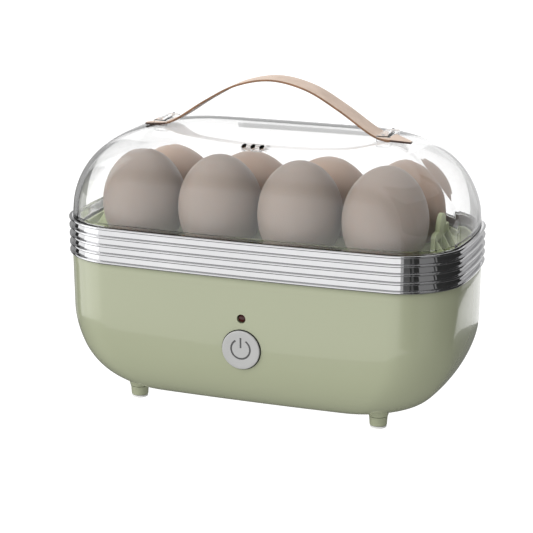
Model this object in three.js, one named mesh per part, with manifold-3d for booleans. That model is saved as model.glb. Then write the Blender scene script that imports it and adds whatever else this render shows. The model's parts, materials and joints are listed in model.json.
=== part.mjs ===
// Eight-egg steam cooker: a loaf-shaped base with a ribbed trim band, a lift-out egg tray,
// a clear lid with a leather strap handle, and the heater, switch and wiring inside the base.
// Millimetres, +Z up, origin on the floor under the middle of the base, front facing -Y.
import * as THREE from 'three';
import { mergeVertices } from 'three/addons/utils/BufferGeometryUtils.js';
import Module from 'manifold-3d';

const wasm = await Module();
wasm.setup();

// ---- Driving dimensions ---------------------------------------------------------------
const GAP = 0.3;                    // clearance between neighbouring pieces

// Plan of the body, measured on the outside of the trim ribs
const HALF_LENGTH = 108;
const HALF_WIDTH = 51.5;
const CORNER_RADIUS = 27.5;
const FRONT_BOW = 3;                // how far the long sides bulge at the middle
const END_BOW = 6.8;                // how far the short ends bulge at the middle

// Insets of each shell from the rib outline
const BASE_INSET = 1.5;
const BAND_FACE_INSET = 1.8;
const BAND_INNER_INSET = 3.2;
const NECK_OUTER_INSET = 3.6;
const NECK_INNER_INSET = 5.4;
const LID_INSET = 2.1;
const SKIRT_OUTER_INSET = 3.7;
const SKIRT_INNER_INSET = 5.5;
const TRAY_INSET = 6.2;
const PAN_WALL_INSET = 7.8;

// Heights
const BASE_BOTTOM = 5;
const BASE_TOP = 81.8;
const NECK_TOP = 87.6;
const BAND_BOTTOM = BASE_TOP + GAP;
const BAND_TOP = 102.6;
const RIB_COUNT = 5;
const RIB_HEIGHT = 1.5;
const SEAL_HEIGHT = 1.0;
const PAN_FLANGE_Z = NECK_TOP + SEAL_HEIGHT + 2 * GAP;
const PAN_SHEET = 1.0;
const PAN_FLOOR_Z = 66;
const TRAY_Z = PAN_FLANGE_Z + PAN_SHEET + GAP;
const TRAY_PLATE = 2.2;
const TRAY_RIM_TOP = 97;
const LID_BOTTOM = BAND_TOP + GAP;
const LID_FOOT = 1.2;               // height over which the wall thickens into the skirt
const SKIRT_BOTTOM = 98;
const LID_TOP = 152;
const BASE_WALL = 2.4;
const LID_WALL = 2;

// Rounding of the base (downwards) and of the lid (upwards): "end" is the XZ profile,
// "side" is the YZ profile, each a quarter of a superellipse
const BASE_ROUND = { edge: BASE_TOP, flat: BASE_BOTTOM, inset: BASE_INSET, draft: 0.008,
  endStart: 51, endRadius: 35, endPower: 1.8, sideStart: 34, sideRadius: 28, sidePower: 2.4 };
const LID_ROUND = { edge: LID_BOTTOM, flat: LID_TOP, inset: LID_INSET, draft: 0.06,
  endStart: 109, endRadius: 39.5, endPower: 1.9, sideStart: 126, sideRadius: 25, sidePower: 2.8 };

// Eggs in two rows of four
const EGG_PITCH = 46.3;
const EGG_ROW_Y = 23;
const CUP_RADIUS = 17;              // inside of the collar that an egg stands in
const CUP_WALL = 1.5;
const CUP_BOTTOM = 87.6;
const CUP_LIP = 0.4;                // how far a collar stands above the tray's plate
const CUP_SEGMENTS = 16;

// Front controls
const BUTTON_Z = 42.6;
const BUTTON_RADIUS = 10.8;
const LED_Z = 59.8;
const LED_RADIUS = 2.2;
const FRONT_Y = -(HALF_WIDTH - BASE_INSET - 0.008 * (BASE_TOP - BUTTON_Z) + FRONT_BOW);

// Feet and bottom cover
const FOOT_X = 70.5;
const FOOT_Y = 30;
const FOOT_RADIUS = 5;
const FOOT_TOP = 6.4;
const FOOT_FLARE = 0.2;             // a foot's top is this much wider than its middle
const PAD_HEIGHT = 1.2;
const COVER_HALF_X = 46;
const COVER_HALF_Y = 28;
const COVER_BOTTOM = 4.4;
const COVER_TOP = 6.4;
const LABEL_HALF_X = 22;            // shallow recess for a rating label
const LABEL_HALF_Y = 12;

// Strap handle
const STRAP_WIDTH = 16;
const STRAP_THICK = 1.2;
const STRAP_REST_Z = LID_TOP + 0.8;
const STRAP_TOP_Z = 180.9;
const STRAP_SLIP = 2.5;             // the strap's ends sit this far to the right in the loops
const STRAP_CUT_X = 64.5;           // where the slanted cut of each end begins
const STRAP_TIP_X = 76.5;
const STRAP_TIP_WIDTH = 3;
const LOOP_X = 64.2;
const LOOP_HALF_X = 3.7;
const LOOP_UNDER = STRAP_REST_Z + 1.9;
const LOOP_POST = 1.6;              // width of a loop's posts
const LOOP_BAR = 0.9;               // thickness of a loop's bar

const FINE = 24;                    // segments round a small cylinder
const COARSE = 16;
const SMALL = 10;

// ---- Materials --------------------------------------------------------------------------
function material(color, roughness, metalness = 0, opacity = 1) {
  return new THREE.MeshStandardMaterial({ color, roughness, metalness, opacity, transparent: opacity < 1 });
}
const sagePlastic = material('#aab18e', 0.25);
const trayPlastic = material('#a4ad86', 0.35);
const chrome = material('#d9dadc', 0.08, 1);
const steel = material('#b9bbbd', 0.3, 1);
const darkSteel = material('#55585a', 0.45, 1);
const brass = material('#b8964f', 0.35, 1);
const clearPlastic = material('#f2f6f7', 0.05, 0, 0.3);
const leather = material('#c49f86', 0.6);
const paleRubber = material('#c9c9c6', 0.8);
const silicone = material('#d8d8d4', 0.7);
const silverPlastic = material('#c9cacb', 0.35, 0.4);
const blackPlastic = material('#1d1d1f', 0.5);
const redLens = material('#5a1512', 0.15);
const boardGreen = material('#2d5a3a', 0.5);
const whiteCeramic = material('#e6e3da', 0.6);
const redWire = material('#9c2a22', 0.5);
const blueWire = material('#2a4c8c', 0.5);

// ---- Mesh helpers -------------------------------------------------------------------------
function positionsOnly(geometry) {
  const plain = geometry.clone();
  plain.deleteAttribute('normal');
  plain.deleteAttribute('uv');
  return mergeVertices(plain, 1e-4);
}

function toSolid(geometry) {
  const merged = positionsOnly(geometry);
  return new wasm.Manifold(new wasm.Mesh({
    numProp: 3,
    vertProperties: new Float32Array(merged.attributes.position.array),
    triVerts: new Uint32Array(merged.index.array),
  }));
}

function toGeometry(solid) {
  const mesh = solid.getMesh();
  const geometry = new THREE.BufferGeometry();
  geometry.setAttribute('position', new THREE.BufferAttribute(new Float32Array(mesh.vertProperties), 3));
  geometry.setIndex(new THREE.BufferAttribute(new Uint32Array(mesh.triVerts), 1));
  return geometry;
}

function join(...geometries) {
  return geometries.map(toSolid).reduce((sum, solid) => sum.add(solid));
}

// Takes tool geometries away from a solid
function cut(solid, ...tools) {
  return tools.reduce((rest, geometry) => rest.subtract(toSolid(geometry)), solid);
}

const group = new THREE.Group();

function addMesh(name, geometry, mat) {
  const mesh = new THREE.Mesh(geometry, mat);
  mesh.name = name;
  group.add(mesh);
  return mesh;
}

// ---- Shape helpers ------------------------------------------------------------------------
function box(x0, x1, y0, y1, z0, z1) {
  const geometry = new THREE.BoxGeometry(x1 - x0, y1 - y0, z1 - z0);
  return geometry.translate((x0 + x1) / 2, (y0 + y1) / 2, (z0 + z1) / 2);
}

// Upright cylinder or cone from z0 to z1
function post(x, y, z0, z1, radius, segments = FINE, topRadius = radius) {
  const geometry = new THREE.CylinderGeometry(topRadius, radius, z1 - z0, segments);
  return geometry.rotateX(Math.PI / 2).translate(x, y, (z0 + z1) / 2);
}

// Cylinder along Y from y0 to y1
function pegY(x, z, y0, y1, radius, segments = FINE) {
  return new THREE.CylinderGeometry(radius, radius, y1 - y0, segments).translate(x, (y0 + y1) / 2, z);
}

// Solid of revolution about a vertical axis through (x, y); the profile is [radius, z] pairs
function turned(x, y, profile, segments = FINE) {
  const points = profile.map(([radius, z]) => new THREE.Vector2(radius, z));
  return new THREE.LatheGeometry(points, segments).rotateX(Math.PI / 2).translate(x, y, 0);
}

function roundedRectangle(halfX, halfY, radius) {
  const shape = new THREE.Shape();
  shape.absarc(halfX - radius, halfY - radius, radius, 0, Math.PI / 2);
  shape.absarc(-halfX + radius, halfY - radius, radius, Math.PI / 2, Math.PI);
  shape.absarc(-halfX + radius, -halfY + radius, radius, Math.PI, 1.5 * Math.PI);
  shape.absarc(halfX - radius, -halfY + radius, radius, 1.5 * Math.PI, 2 * Math.PI);
  shape.closePath();
  return shape;
}

function plate(shape, z0, z1, curveSegments = 4) {
  const options = { depth: z1 - z0, bevelEnabled: false, curveSegments };
  return new THREE.ExtrudeGeometry(shape, options).translate(0, 0, z0);
}

// One ring of the body's plan: a rounded rectangle whose sides and ends bow outwards
const CORNER_STEPS = 5;
const SIDE_STEPS = 4;
const END_STEPS = 2;
function planRing(halfLength, halfWidth, cornerRadius, z) {
  const radius = Math.min(cornerRadius, halfLength - 0.5, halfWidth - 0.5);
  const cx = halfLength - radius;
  const cy = halfWidth - radius;
  const corners = [[cx, cy], [-cx, cy], [-cx, -cy], [cx, -cy]];
  const flat = [];
  corners.forEach(([x, y], quarter) => {
    for (let i = 0; i <= CORNER_STEPS; i++) {
      const angle = (quarter + i / CORNER_STEPS) * Math.PI / 2;
      flat.push([x + radius * Math.cos(angle), y + radius * Math.sin(angle)]);
    }
    const [fromX, fromY] = flat[flat.length - 1];
    const [nextX, nextY] = corners[(quarter + 1) % 4];
    const onLongSide = quarter % 2 === 0;
    const toX = onLongSide ? nextX : fromX;
    const toY = onLongSide ? fromY : nextY;
    const steps = onLongSide ? SIDE_STEPS : END_STEPS;
    for (let i = 1; i < steps; i++) {
      flat.push([fromX + (toX - fromX) * i / steps, fromY + (toY - fromY) * i / steps]);
    }
  });
  const endBow = END_BOW / HALF_LENGTH;
  const frontBow = FRONT_BOW / HALF_WIDTH;
  return flat.map(([x, y]) => new THREE.Vector3(
    x * (1 + endBow * (1 - (y / halfWidth) ** 2)),
    y * (1 + frontBow * (1 - (x / halfLength) ** 2)), z));
}

function insetRing(inset, z) {
  return planRing(HALF_LENGTH - inset, HALF_WIDTH - inset, CORNER_RADIUS - inset, z);
}

// Skin through a list of rings. A closed loft returns to its first ring, like a moulded ring;
// an open one is capped flat at its first and last rings.
function loft(rings, closed = false) {
  const count = rings[0].length;
  const points = rings.flat();
  const index = [];
  const bands = closed ? rings.length : rings.length - 1;
  for (let i = 0; i < bands; i++) {
    const low = i * count;
    const high = ((i + 1) % rings.length) * count;
    for (let j = 0; j < count; j++) {
      const k = (j + 1) % count;
      index.push(low + j, low + k, high + k, low + j, high + k, high + j);
    }
  }
  if (!closed) {
    for (let j = 1; j < count - 1; j++) {
      const last = (rings.length - 1) * count;
      index.push(0, j + 1, j);
      index.push(last, last + j, last + j + 1);
    }
  }
  const geometry = new THREE.BufferGeometry().setFromPoints(points);
  geometry.setIndex(index);
  return geometry;
}

// A ring-shaped solid between two insets and two heights
function insetBand(outerInset, innerInset, z0, z1) {
  const rings = [insetRing(outerInset, z0), insetRing(outerInset, z1), insetRing(innerInset, z1),
    insetRing(innerInset, z0)];
  return loft(rings, true);
}

// Quarter-superellipse reduction: 0 at the start of the rounding, radius at its flat end
function rounding(z, start, flat, radius, power) {
  const travel = Math.min(Math.max((z - start) / (flat - start), 0), 1);
  return radius * (1 - (1 - travel ** power) ** (1 / power));
}

// Rings of a loaf-shaped skin from its edge to its flat, moved inwards by `wall`
function loafRings(round, wall, levels) {
  const sense = Math.sign(round.flat - round.edge);
  const flat = round.flat - sense * wall;
  const heights = [round.edge];
  for (let i = 0; i <= levels; i++) {
    heights.push(round.endStart + (flat - round.endStart) * Math.sin(i / levels * Math.PI / 2));
  }
  return heights.map((z) => {
    const draft = round.draft * Math.abs(z - round.edge) + wall + round.inset;
    const end = rounding(z, round.endStart, flat, round.endRadius, round.endPower);
    const side = rounding(z, round.sideStart, flat, round.sideRadius, round.sidePower);
    const corner = CORNER_RADIUS - round.inset - wall;
    return planRing(HALF_LENGTH - draft - end, HALF_WIDTH - draft - side, corner, z);
  });
}

// ---- Base housing -------------------------------------------------------------------------
const LOAF_LEVELS = 7;
const HOUSING_FRAME = 9.6;          // top of the stiffening frame round the bottom opening
const PCB_Y = -37.6;
const PCB_BOSS_X = 18;
const PCB_BOSS_Z = 33;
const INLET_Z = 40;
const INLET_HALF_X = 11.7;
const INLET_HALF_Z = 6.8;

function screwSpots() {
  const [x, y] = [COVER_HALF_X - 4, COVER_HALF_Y - 4];
  return [[-x, -y], [-x, y], [x, -y], [x, y]];
}

function footSpots() {
  return [['front_left', -1, -1], ['front_right', 1, -1], ['rear_left', -1, 1], ['rear_right', 1, 1]]
    .map(([place, x, y]) => [place, x * FOOT_X, y * FOOT_Y]);
}

function baseHousing() {
  const outside = loafRings(BASE_ROUND, 0, LOAF_LEVELS).reverse();
  const inside = loafRings({ ...BASE_ROUND, edge: BASE_TOP - 4 }, BASE_WALL, LOAF_LEVELS);
  const shoulder = [insetRing(NECK_OUTER_INSET, BASE_TOP), insetRing(NECK_OUTER_INSET, NECK_TOP),
    insetRing(NECK_INNER_INSET, NECK_TOP), insetRing(NECK_INNER_INSET, BASE_TOP - 2)];
  let shell = toSolid(loft([...outside, ...shoulder, ...inside]));
  const frame = roundedRectangle(COVER_HALF_X + 4, COVER_HALF_Y + 4, 10);
  shell = shell.add(toSolid(plate(frame, BASE_BOTTOM + 1, HOUSING_FRAME)));
  for (const [, x, y] of footSpots()) {
    const seat = FOOT_TOP + GAP;
    const recess = FOOT_RADIUS + FOOT_FLARE + GAP;
    const boss = post(x, y, seat, HOUSING_FRAME + 2, FOOT_RADIUS + 0.3, COARSE, FOOT_RADIUS + 1.8);
    shell = cut(shell.add(toSolid(boss)), post(x, y, 0, seat, recess, COARSE),
      post(x, y, FOOT_TOP, HOUSING_FRAME, 1.6, SMALL));
  }
  for (const x of [-PCB_BOSS_X, PCB_BOSS_X]) {
    shell = shell.add(toSolid(pegY(x, PCB_BOSS_Z, FRONT_Y + 1.5, BOARD_FRONT, 3, SMALL)));
    shell = shell.subtract(toSolid(pegY(x, PCB_BOSS_Z, FRONT_Y + 4, PCB_Y, 1.3, SMALL)));
  }
  shell = cut(shell,
    plate(roundedRectangle(COVER_HALF_X + GAP, COVER_HALF_Y + GAP, 8), BASE_BOTTOM - 2, COVER_TOP + GAP),
    plate(roundedRectangle(COVER_HALF_X - 8, COVER_HALF_Y - 8, 6), BASE_BOTTOM, HOUSING_FRAME + 1),
    pegY(0, BUTTON_Z, FRONT_Y - 3, FRONT_Y + 6, BUTTON_RADIUS + 0.5, FINE),
    pegY(0, LED_Z, FRONT_Y - 3, FRONT_Y + 6, LED_RADIUS + GAP, COARSE),
    box(-INLET_HALF_X - GAP, INLET_HALF_X + GAP, -FRONT_Y - 6, -FRONT_Y + 3,
      INLET_Z - INLET_HALF_Z - GAP, INLET_Z + INLET_HALF_Z + GAP));
  for (const [x, y] of screwSpots()) {
    shell = shell.subtract(toSolid(post(x, y, COVER_TOP, HOUSING_FRAME - 0.8, 1.6, SMALL)));
  }
  addMesh('base_housing', toGeometry(shell), sagePlastic);
}

function bottomCover() {
  let cover = toSolid(plate(roundedRectangle(COVER_HALF_X, COVER_HALF_Y, 8), COVER_BOTTOM, COVER_TOP));
  for (const [x, y] of screwSpots()) {
    cover = cut(cover, post(x, y, COVER_BOTTOM - 1, COVER_TOP + 1, 1.8, SMALL),
      post(x, y, COVER_BOTTOM - 1, COVER_BOTTOM + 1, 3.3, SMALL));
  }
  cover = cut(cover, box(-LABEL_HALF_X, LABEL_HALF_X, -LABEL_HALF_Y, LABEL_HALF_Y,
    COVER_BOTTOM - 1, COVER_BOTTOM + 0.5));
  addMesh('bottom_cover', toGeometry(cover), sagePlastic);
  screwSpots().forEach(([x, y], i) => {
    const top = COVER_BOTTOM + 1 - GAP;
    const profile = [[0, COVER_BOTTOM - 0.2], [2.8, COVER_BOTTOM - 0.2], [2.8, top], [1.3, top],
      [1.3, HOUSING_FRAME - 1.6], [0, HOUSING_FRAME - 1.2]];
    addMesh(`cover_screw_${i + 1}`, turned(x, y, profile, SMALL), steel);
  });
}

function feet() {
  for (const [place, x, y] of footSpots()) {
    const bottom = PAD_HEIGHT + GAP;
    const profile = [[0, bottom], [FOOT_RADIUS - 0.3, bottom], [FOOT_RADIUS, FOOT_TOP - 0.6],
      [FOOT_RADIUS + FOOT_FLARE, FOOT_TOP], [1.3, FOOT_TOP], [1.3, HOUSING_FRAME - 1],
      [0, HOUSING_FRAME - 0.6]];
    addMesh(`foot_${place}`, turned(x, y, profile, COARSE), sagePlastic);
    const pad = [[0, 0], [FOOT_RADIUS - 0.6, 0], [FOOT_RADIUS - 0.4, PAD_HEIGHT],
      [0, PAD_HEIGHT]];
    addMesh(`foot_pad_${place}`, turned(x, y, pad, COARSE), paleRubber);
  }
}

// ---- Trim band: flat face with five proud ribs -----------------------------------------------
function chromeBand() {
  const pitch = (BAND_TOP - BAND_BOTTOM - RIB_HEIGHT) / (RIB_COUNT - 1);
  const rings = [];
  for (let i = 0; i < RIB_COUNT; i++) {
    const z0 = BAND_BOTTOM + i * pitch;
    const z1 = z0 + RIB_HEIGHT;
    if (i > 0) rings.push(insetRing(BAND_FACE_INSET, z0));
    rings.push(insetRing(0, z0), insetRing(0, z1));
    if (i < RIB_COUNT - 1) rings.push(insetRing(BAND_FACE_INSET, z1));
  }
  rings.push(insetRing(BAND_INNER_INSET, BAND_TOP), insetRing(BAND_INNER_INSET, BAND_BOTTOM));
  addMesh('chrome_band', loft(rings, true), chrome);
}

// ---- Water pan, seal and heater -----------------------------------------------------------
const ELEMENT_RADIUS = 2.8;
const ELEMENT_Z = PAN_FLOOR_Z - PAN_SHEET - 3 * GAP - ELEMENT_RADIUS;
const ELEMENT_HALF_X = 58;
const ELEMENT_HALF_Y = 24;
const ELEMENT_END_X = 8;            // the two ends of the loop, at the rear
const ELEMENT_DROP = 7;             // how far the ends bend down
const SPADE_END = ELEMENT_Z - 15;   // lower end of the terminals
const CLAMP_X = 30;

function waterPan() {
  const wall = PAN_WALL_INSET;
  const inner = wall + PAN_SHEET;
  const flange = NECK_OUTER_INSET + 0.2;
  const flangeTop = PAN_FLANGE_Z + PAN_SHEET;
  const corner = 7;
  const chamfer = corner * 0.3;
  const under = PAN_FLOOR_Z - PAN_SHEET;
  const profile = [[wall + corner, under], [wall + chamfer, under + chamfer], [wall, under + corner],
    [wall, PAN_FLANGE_Z], [flange, PAN_FLANGE_Z], [flange, flangeTop], [inner, flangeTop],
    [inner, under + corner], [inner + chamfer, PAN_FLOOR_Z + chamfer], [wall + corner, PAN_FLOOR_Z]];
  addMesh('water_pan', loft(profile.map(([inset, z]) => insetRing(inset, z))), steel);
  const seal = insetBand(flange, wall - GAP, NECK_TOP + GAP, NECK_TOP + GAP + SEAL_HEIGHT);
  addMesh('pan_seal', seal, silicone);
}

// Tube along a smooth path: a round section swept with ExtrudeGeometry
function tube(points, radius, steps, sides = 8) {
  const section = new THREE.Shape();
  for (let i = 0; i <= sides; i++) {
    const angle = i / sides * 2 * Math.PI;
    const [x, y] = [radius * Math.cos(angle), radius * Math.sin(angle)];
    if (i === 0) section.moveTo(x, y);
    else section.lineTo(x, y);
  }
  const path = new THREE.CatmullRomCurve3(points.map((p) => new THREE.Vector3(...p)), false, 'centripetal');
  return new THREE.ExtrudeGeometry(section, { steps, bevelEnabled: false, extrudePath: path });
}

// Half of the heater's loop, from its end at the rear to the middle of the long front side
function elementHalf(side) {
  const [a, b, z] = [ELEMENT_HALF_X, ELEMENT_HALF_Y, ELEMENT_Z];
  const end = ELEMENT_END_X;
  return [[end, b, z - ELEMENT_DROP], [end, b, z - 5], [end + 1, b, z - 2.2], [end + 5, b, z], [a - 16, b, z],
    [a - 4, b - 6, z], [a, 0, z], [a - 4, -b + 6, z], [a - 16, -b, z]]
    .map(([x, y, height]) => [side * x, y, height]);
}

function heater() {
  const loop = [...elementHalf(1), ...elementHalf(-1).reverse()];
  addMesh('heating_element', tube(loop, ELEMENT_RADIUS, 44), darkSteel);
  const panUnder = PAN_FLOOR_Z - PAN_SHEET - GAP;
  const barTop = ELEMENT_Z - ELEMENT_RADIUS - GAP;
  const barBottom = barTop - 1.5;
  const barHalfY = ELEMENT_HALF_Y + 6;
  for (const [label, side] of [['left', -1], ['right', 1]]) {
    const x = side * CLAMP_X;
    const bar = join(box(x - 5, x + 5, -barHalfY, barHalfY, barBottom, barTop),
      box(x - 5, x + 5, -3, 3, barTop - 0.5, panUnder));
    addMesh(`element_clamp_${label}`, toGeometry(bar), steel);
    addMesh(`clamp_nut_${label}`, post(x, 0, barBottom - 2.5, barBottom - GAP, 3.4, 6), steel);
    addMesh(`element_terminal_${label}`,
      post(side * ELEMENT_END_X, ELEMENT_HALF_Y, SPADE_END, ELEMENT_Z - ELEMENT_DROP - GAP, 1.6, 12), brass);
  }
  const disc = join(post(0, 0, panUnder - 3, panUnder, 8.2), post(0, 0, panUnder - 8, panUnder - 2.5, 6.6),
    box(-7, -4.6, -3, 3, panUnder - 11, panUnder - 7), box(4.6, 7, -3, 3, panUnder - 11, panUnder - 7));
  addMesh('thermostat', toGeometry(disc), whiteCeramic);
  const fuse = tube([[-21, 10, panUnder - 2.2], [-14, 10, panUnder - 2.2]], 2, 2, 12);
  addMesh('thermal_fuse', fuse, steel);
}

// ---- Controls -----------------------------------------------------------------------------
const BUTTON_BACK = FRONT_Y + 2.4;
const BUTTON_PROUD = 1.3;
const STEM_RADIUS = 2.2;
const STEM_BORE = 2.6;
const STEM_END = PCB_Y - 3.8;       // leaves 1.9 mm in the switch's bore for the 1.5 mm press
const PCB_HALF = 0.8;               // half thickness of the board
const PCB_HALF_X = 24;
const PCB_BOTTOM = 29;
const PCB_TOP = 63;
const BOARD_FRONT = PCB_Y - PCB_HALF - GAP;
const BOARD_REAR = PCB_Y + PCB_HALF + GAP;
const GUIDE_FACE = FRONT_Y + 5.6;
const GUIDE_HALF_X = 14;
const SWITCH_FACE = BOARD_FRONT - 5;

// A helical spring along Y, swept as a thin round wire
function coilSpringY(radius, y0, y1, turns, wire, z) {
  const points = [];
  const perTurn = 8;
  for (let i = 0; i <= turns * perTurn; i++) {
    const angle = i / perTurn * 2 * Math.PI;
    const y = y0 + wire + (y1 - y0 - 2 * wire) * i / (turns * perTurn);
    points.push([radius * Math.cos(angle), y, z + radius * Math.sin(angle)]);
  }
  return tube(points, wire, turns * 10, 5);
}

function button() {
  const spread = BUTTON_RADIUS - 2;
  const recess = pegY(0, BUTTON_Z, BUTTON_BACK - 1.2, BUTTON_BACK + 1, spread, 32);
  const cap = cut(toSolid(pegY(0, BUTTON_Z, FRONT_Y - BUTTON_PROUD, BUTTON_BACK, BUTTON_RADIUS, 32)), recess);
  const stem = toSolid(pegY(0, BUTTON_Z, FRONT_Y, STEM_END, STEM_RADIUS, SMALL));
  addMesh('power_button', toGeometry(cap.add(stem)), silverPlastic);
}

function buttonGuideAndSwitch() {
  const [low, high] = [BUTTON_Z - 7, BUTTON_Z + 7];
  const bridge = join(
    box(-GUIDE_HALF_X, GUIDE_HALF_X, GUIDE_FACE, GUIDE_FACE + 1.6, low, high),
    box(-GUIDE_HALF_X, -GUIDE_HALF_X + 2.5, GUIDE_FACE + 1, BOARD_FRONT, low, high),
    box(GUIDE_HALF_X - 2.5, GUIDE_HALF_X, GUIDE_FACE + 1, BOARD_FRONT, low, high));
  const guide = cut(bridge, pegY(0, BUTTON_Z, GUIDE_FACE - 1, GUIDE_FACE + 3, STEM_BORE, COARSE));
  addMesh('button_guide', toGeometry(guide), blackPlastic);
  const spring = coilSpringY(4.2, BUTTON_BACK - 1.2 + GAP, GUIDE_FACE - GAP, 3, 0.35, BUTTON_Z);
  addMesh('button_spring', spring, steel);
  const block = toSolid(box(-6, 6, SWITCH_FACE, BOARD_FRONT, BUTTON_Z - 6, BUTTON_Z + 6));
  const body = cut(block, pegY(0, BUTTON_Z, SWITCH_FACE - 1, BOARD_FRONT - 0.8, STEM_BORE, COARSE));
  addMesh('switch_body', toGeometry(body), blackPlastic);
}

function circuitBoard() {
  const blank = box(-PCB_HALF_X, PCB_HALF_X, PCB_Y - PCB_HALF, PCB_Y + PCB_HALF, PCB_BOTTOM, PCB_TOP);
  const screwHole = (side) => pegY(side * PCB_BOSS_X, PCB_BOSS_Z, PCB_Y - 2, PCB_Y + 2, 1.7, COARSE);
  addMesh('circuit_board', toGeometry(cut(toSolid(blank), screwHole(-1), screwHole(1))), boardGreen);
  for (const [label, side] of [['left', -1], ['right', 1]]) {
    const head = pegY(side * PCB_BOSS_X, PCB_BOSS_Z, BOARD_REAR, BOARD_REAR + 1.5, 2.8, COARSE);
    const shank = pegY(side * PCB_BOSS_X, PCB_BOSS_Z, PCB_Y - 8, BOARD_REAR + 1, 1, 12);
    addMesh(`board_screw_${label}`, toGeometry(join(head, shank)), steel);
  }
  addMesh('relay', box(8, 21, BOARD_REAR, PCB_Y + 12, 46, 58), blackPlastic);
}

function indicator() {
  const flange = FRONT_Y + 2.6 + GAP;
  const back = flange + 0.9;
  const lens = join(pegY(0, LED_Z, FRONT_Y - 0.1, FRONT_Y + 2.4, LED_RADIUS, COARSE),
    pegY(0, LED_Z, flange, back, LED_RADIUS + 1, COARSE),
    pegY(0, LED_Z, FRONT_Y + 2, flange + 0.5, LED_RADIUS - 0.2, COARSE));
  addMesh('indicator_lens', toGeometry(lens), redLens);
  const lamp = join(pegY(0, LED_Z, back + GAP, PCB_Y - 3, 1.5, COARSE),
    pegY(0, LED_Z, PCB_Y - 3.5, BOARD_FRONT, 1.9, COARSE));
  addMesh('led_lamp', toGeometry(lamp), whiteCeramic);
}

// ---- Appliance inlet on the rear and the wires inside -----------------------------------------
const INLET_FACE = -FRONT_Y + GAP;
const INLET_DEPTH = 15;
const PIN_X = 4.3;
const PIN_INNER_END = INLET_FACE - INLET_DEPTH - 4;

function inlet() {
  const back = INLET_FACE - INLET_DEPTH;
  const blockY = (margin, y0, y1) => box(-INLET_HALF_X - margin, INLET_HALF_X + margin, y0, y1,
    INLET_Z - INLET_HALF_Z - margin, INLET_Z + INLET_HALF_Z + margin);
  const block = join(blockY(0, back, INLET_FACE + 1), blockY(2.5, INLET_FACE, INLET_FACE + 1.5));
  const mouth = blockY(-1.8, back + 2.5, INLET_FACE + 3);
  const pinHole = (side) => pegY(side * PIN_X, INLET_Z, back - 1, back + 4, 1.5, 12);
  addMesh('inlet_socket', toGeometry(cut(block, mouth, pinHole(-1), pinHole(1))), blackPlastic);
  for (const [label, side] of [['left', -1], ['right', 1]]) {
    addMesh(`inlet_pin_${label}`, pegY(side * PIN_X, INLET_Z, PIN_INNER_END, INLET_FACE - 3, 1.2, 12), brass);
  }
}

// Insulated wire from `start` (leaving along `leave`), over the `via` points, square into the board
function boardWire(name, start, leave, via, [endX, endZ], mat) {
  const straight = 3;
  const next = start.map((value, axis) => value + leave[axis] * straight);
  const end = [[endX, BOARD_REAR + straight, endZ], [endX, BOARD_REAR, endZ]];
  addMesh(name, tube([start, next, ...via, ...end], 1.1, 14, 6), mat);
}

function wires() {
  const fromPin = (side) => [side * PIN_X, PIN_INNER_END - GAP, INLET_Z];
  const fromSpade = (side) => [side * ELEMENT_END_X, ELEMENT_HALF_Y, SPADE_END - GAP];
  const [forward, down] = [[0, -1, 0], [0, 0, -1]];
  boardWire('wire_live', fromPin(-1), forward, [[-8, 20, 34], [-16, 0, 26], [-14, -20, 40]],
    [-14, 50], redWire);
  boardWire('wire_neutral', fromPin(1), forward, [[6, 18, 28], [6, 0, 20], [4, -24, 26]],
    [4, 36], blueWire);
  boardWire('wire_element_left', fromSpade(-1), down, [[-10, 16, 35], [-20, 0, 38], [-20, -20, 50]],
    [-20, 56], redWire);
  boardWire('wire_element_right', fromSpade(1), down, [[12, 14, 32], [16, 0, 30], [14, -24, 34]],
    [14, 40], blueWire);
}

// ---- Egg tray -----------------------------------------------------------------------------
const HANDLE_X = 95;
const HANDLE_TOP = 114.5;
const HANDLE_SHOULDER = 106;
const STEAM_HOLE_RADIUS = 5;

function cupSpots() {
  const spots = [];
  for (let column = 0; column < 4; column++) {
    for (const row of [-1, 1]) spots.push([(column - 1.5) * EGG_PITCH, row * EGG_ROW_Y]);
  }
  return spots;
}

// Lifting handle: an upright plate with two windows and a round-topped finger tab
function trayHandle(side) {
  const [x0, x1] = [side * HANDLE_X - 1.2, side * HANDLE_X + 1.2];
  const foot = TRAY_Z + TRAY_PLATE - 0.5;
  const [plateHalf, tabHalf] = [18, 9];
  const outline = new THREE.Shape();
  outline.moveTo(-plateHalf, foot);
  outline.lineTo(plateHalf, foot);
  outline.lineTo(plateHalf, HANDLE_SHOULDER - 2);
  outline.lineTo(plateHalf - 2, HANDLE_SHOULDER);
  outline.lineTo(tabHalf, HANDLE_SHOULDER);
  outline.absarc(0, HANDLE_TOP - tabHalf, tabHalf, 0.1, Math.PI - 0.1);
  outline.lineTo(-tabHalf, HANDLE_SHOULDER);
  outline.lineTo(-plateHalf + 2, HANDLE_SHOULDER);
  outline.lineTo(-plateHalf, HANDLE_SHOULDER - 2);
  outline.closePath();
  const options = { depth: x1 - x0, bevelEnabled: false, curveSegments: 5 };
  const upright = new THREE.ExtrudeGeometry(outline, options)
    .rotateX(Math.PI / 2).rotateZ(Math.PI / 2).translate(x0, 0, 0);
  return cut(toSolid(upright), box(x0 - 1, x1 + 1, -14, -4, foot + 3, HANDLE_SHOULDER - 4.5),
    box(x0 - 1, x1 + 1, 4, 14, foot + 3, HANDLE_SHOULDER - 4.5));
}

// Triangular web that braces a tray handle against the plate
function handleWeb(side, y) {
  const foot = TRAY_Z + TRAY_PLATE - 0.5;
  const web = new THREE.Shape([new THREE.Vector2(side * HANDLE_X, foot),
    new THREE.Vector2(side * (HANDLE_X + 8), foot), new THREE.Vector2(side * HANDLE_X, HANDLE_SHOULDER - 3)]);
  return new THREE.ExtrudeGeometry(web, { depth: 1.6, bevelEnabled: false })
    .rotateX(Math.PI / 2).translate(0, y + 0.8, 0);
}

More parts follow.
